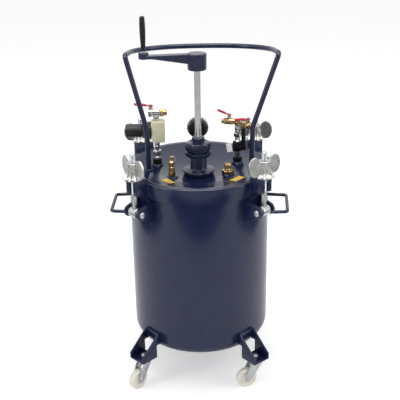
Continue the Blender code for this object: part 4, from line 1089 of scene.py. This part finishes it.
def make_studio():
    """Pale floor, soft lamps, plain world and the camera."""
    floor_z = CAD_BOX[0].z
    deselect()
    bpy.ops.mesh.primitive_plane_add(size=60, location=(0, 0, floor_z - 0.0005))
    floor = named("studio_floor")
    paint = bpy.data.materials.new("white studio floor")
    paint.use_nodes = True
    shader = paint.node_tree.nodes["Principled BSDF"]
    shader.inputs["Base Color"].default_value = linear("#fbfbfb")
    shader.inputs["Roughness"].default_value = 0.9
    shader.inputs["Specular IOR Level"].default_value = 0.0
    whiten_floor(paint.node_tree, shader)
    floor.data.materials.append(paint)
    floor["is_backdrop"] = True
    make_flags(floor_z)
    lamps = (("left_softbox", (-2.6, -1.6, 2.0), (1.2, 2.4), 26),
             ("right_softbox", (2.7, -1.0, 1.8), (1.0, 2.4), 22),
             ("top_softbox", (0.0, 0.6, 3.2), (2.6, 1.8), 34),
             ("rim_strip", (0.0, -1.25, 3.0), (2.4, 0.7), 55))
    for name, at, size, power in lamps:
        deselect()
        bpy.ops.object.light_add(type="AREA", location=at)
        lamp = bpy.context.object
        lamp.name = name
        lamp.data.shape = "RECTANGLE"
        lamp.data.size, lamp.data.size_y = size
        lamp.data.energy = power
        lamp.visible_diffuse = name != "rim_strip"  # the strip is only a highlight along edges
        aim = Vector((0, 0, 0.4)) - Vector(at)
        lamp.rotation_euler = aim.to_track_quat("-Z", "Y").to_euler()
    make_world()
    bpy.ops.object.camera_add(location=(0.0022, -2.1415, 1.2872))
    camera = bpy.context.object
    turn = Matrix.Rotation(math.radians(67.75), 4, "X") @ Matrix.Rotation(math.radians(-0.956), 4, "Z")
    camera.rotation_euler = turn.to_euler()
    camera.data.lens = 71.3
    camera.data.sensor_width = 36
    bpy.context.scene.camera = camera
    bpy.context.scene.view_settings.view_transform = "Standard"


def whiten_floor(tree, shader):
    """Lifts the floor to white where it is seen directly; its shadow stays."""
    rays = add(tree, "LightPath", {})
    lift = add(tree, "Emission", {"Color": (1, 1, 1, 1), "Strength": 0.34})
    both = add(tree, "AddShader", {})
    tree.links.new(shader.outputs[0], both.inputs[0])
    tree.links.new(lift.outputs[0], both.inputs[1])
    mix = add(tree, "MixShader", {}, {"Fac": rays.outputs["Is Camera Ray"]})
    tree.links.new(shader.outputs[0], mix.inputs[1])
    tree.links.new(both.outputs[0], mix.inputs[2])
    tree.links.new(mix.outputs[0], tree.nodes["Material Output"].inputs["Surface"])


def make_flags(floor_z):
    """Dark cloths on the floor that only reflections see: they give gloss and chrome their bands."""
    cloth = bpy.data.materials.new("dark studio cloth")
    cloth.use_nodes = True
    shader = cloth.node_tree.nodes["Principled BSDF"]
    shader.inputs["Base Color"].default_value = linear("#1c2226")
    shader.inputs["Roughness"].default_value = 1.0
    shader.inputs["Specular IOR Level"].default_value = 0.0
    flags = (("front_cloth", (0.0, -1.50), (2.6, 0.62)), ("left_cloth", (-1.64, -0.15), (0.94, 1.2)),
             ("right_cloth", (1.64, -0.15), (0.94, 1.2)),
             ("left_far_cloth", (-2.60, -1.15), (0.9, 2.3)),
             ("right_far_cloth", (2.75, -0.80), (0.9, 1.5)))
    for name, at, size in flags:
        deselect()
        bpy.ops.mesh.primitive_plane_add(size=1, location=(*at, floor_z + 0.001))
        bpy.context.object.scale = (*size, 1)
        flag = named(name)
        flag.data.materials.append(cloth)
        flag.visible_camera = flag.visible_diffuse = flag.visible_shadow = False
        flag.visible_transmission = False
        flag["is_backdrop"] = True


def make_world():
    """Even light; seen directly, in metal or through glass it is the white backdrop."""
    world = bpy.data.worlds.new("studio")
    bpy.context.scene.world = world
    world.use_nodes = True
    tree = world.node_tree
    light = tree.nodes["Background"]
    light.inputs["Color"].default_value = (1, 1, 1, 1)
    light.inputs["Strength"].default_value = 0.62
    rays = add(tree, "LightPath", {})
    direct = add(tree, "Math", {"operation": "MAXIMUM"})
    tree.links.new(rays.outputs["Is Camera Ray"], direct.inputs[0])
    tree.links.new(rays.outputs["Is Transmission Ray"], direct.inputs[1])
    seen = add(tree, "Math", {"operation": "MAXIMUM"})
    tree.links.new(direct.outputs[0], seen.inputs[0])
    tree.links.new(rays.outputs["Is Glossy Ray"], seen.inputs[1])
    where = add(tree, "TexCoord", {})
    parts = add(tree, "SeparateXYZ", {}, {"Vector": where.outputs["Generated"]})
    front = add(tree, "MapRange", {"From Min": -0.9, "From Max": -0.2, "To Min": 0.22, "To Max": 1.0},
                {"Value": parts.outputs["Y"]})
    backdrop = add(tree, "Background", {"Color": (1, 1, 1, 1)}, {"Strength": front.outputs["Result"]})
    mix = add(tree, "MixShader", {})
    tree.links.new(seen.outputs[0], mix.inputs[0])
    tree.links.new(light.outputs[0], mix.inputs[1])
    tree.links.new(backdrop.outputs[0], mix.inputs[2])
    tree.links.new(mix.outputs[0], tree.nodes["World Output"].inputs["Surface"])


make_tank()
make_side_handle("left", 178.5)
make_side_handle("right", -4.5)
for quarter in QUARTERS:
    make_clevis_pin(quarter)
    make_bracket(quarter)
    make_leg(quarter)
    make_caster(quarter)
make_lid()
make_hoop()
make_agitator()
make_impeller()
make_clamps()
make_gauge()
make_inlet()
make_outlet()
make_small_fittings()
coat_cad_nodes()
make_studio()

boxes = {"cad": CAD_BOX, "visual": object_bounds()}
{name: [list(corner) for corner in box] for name, box in boxes.items()}
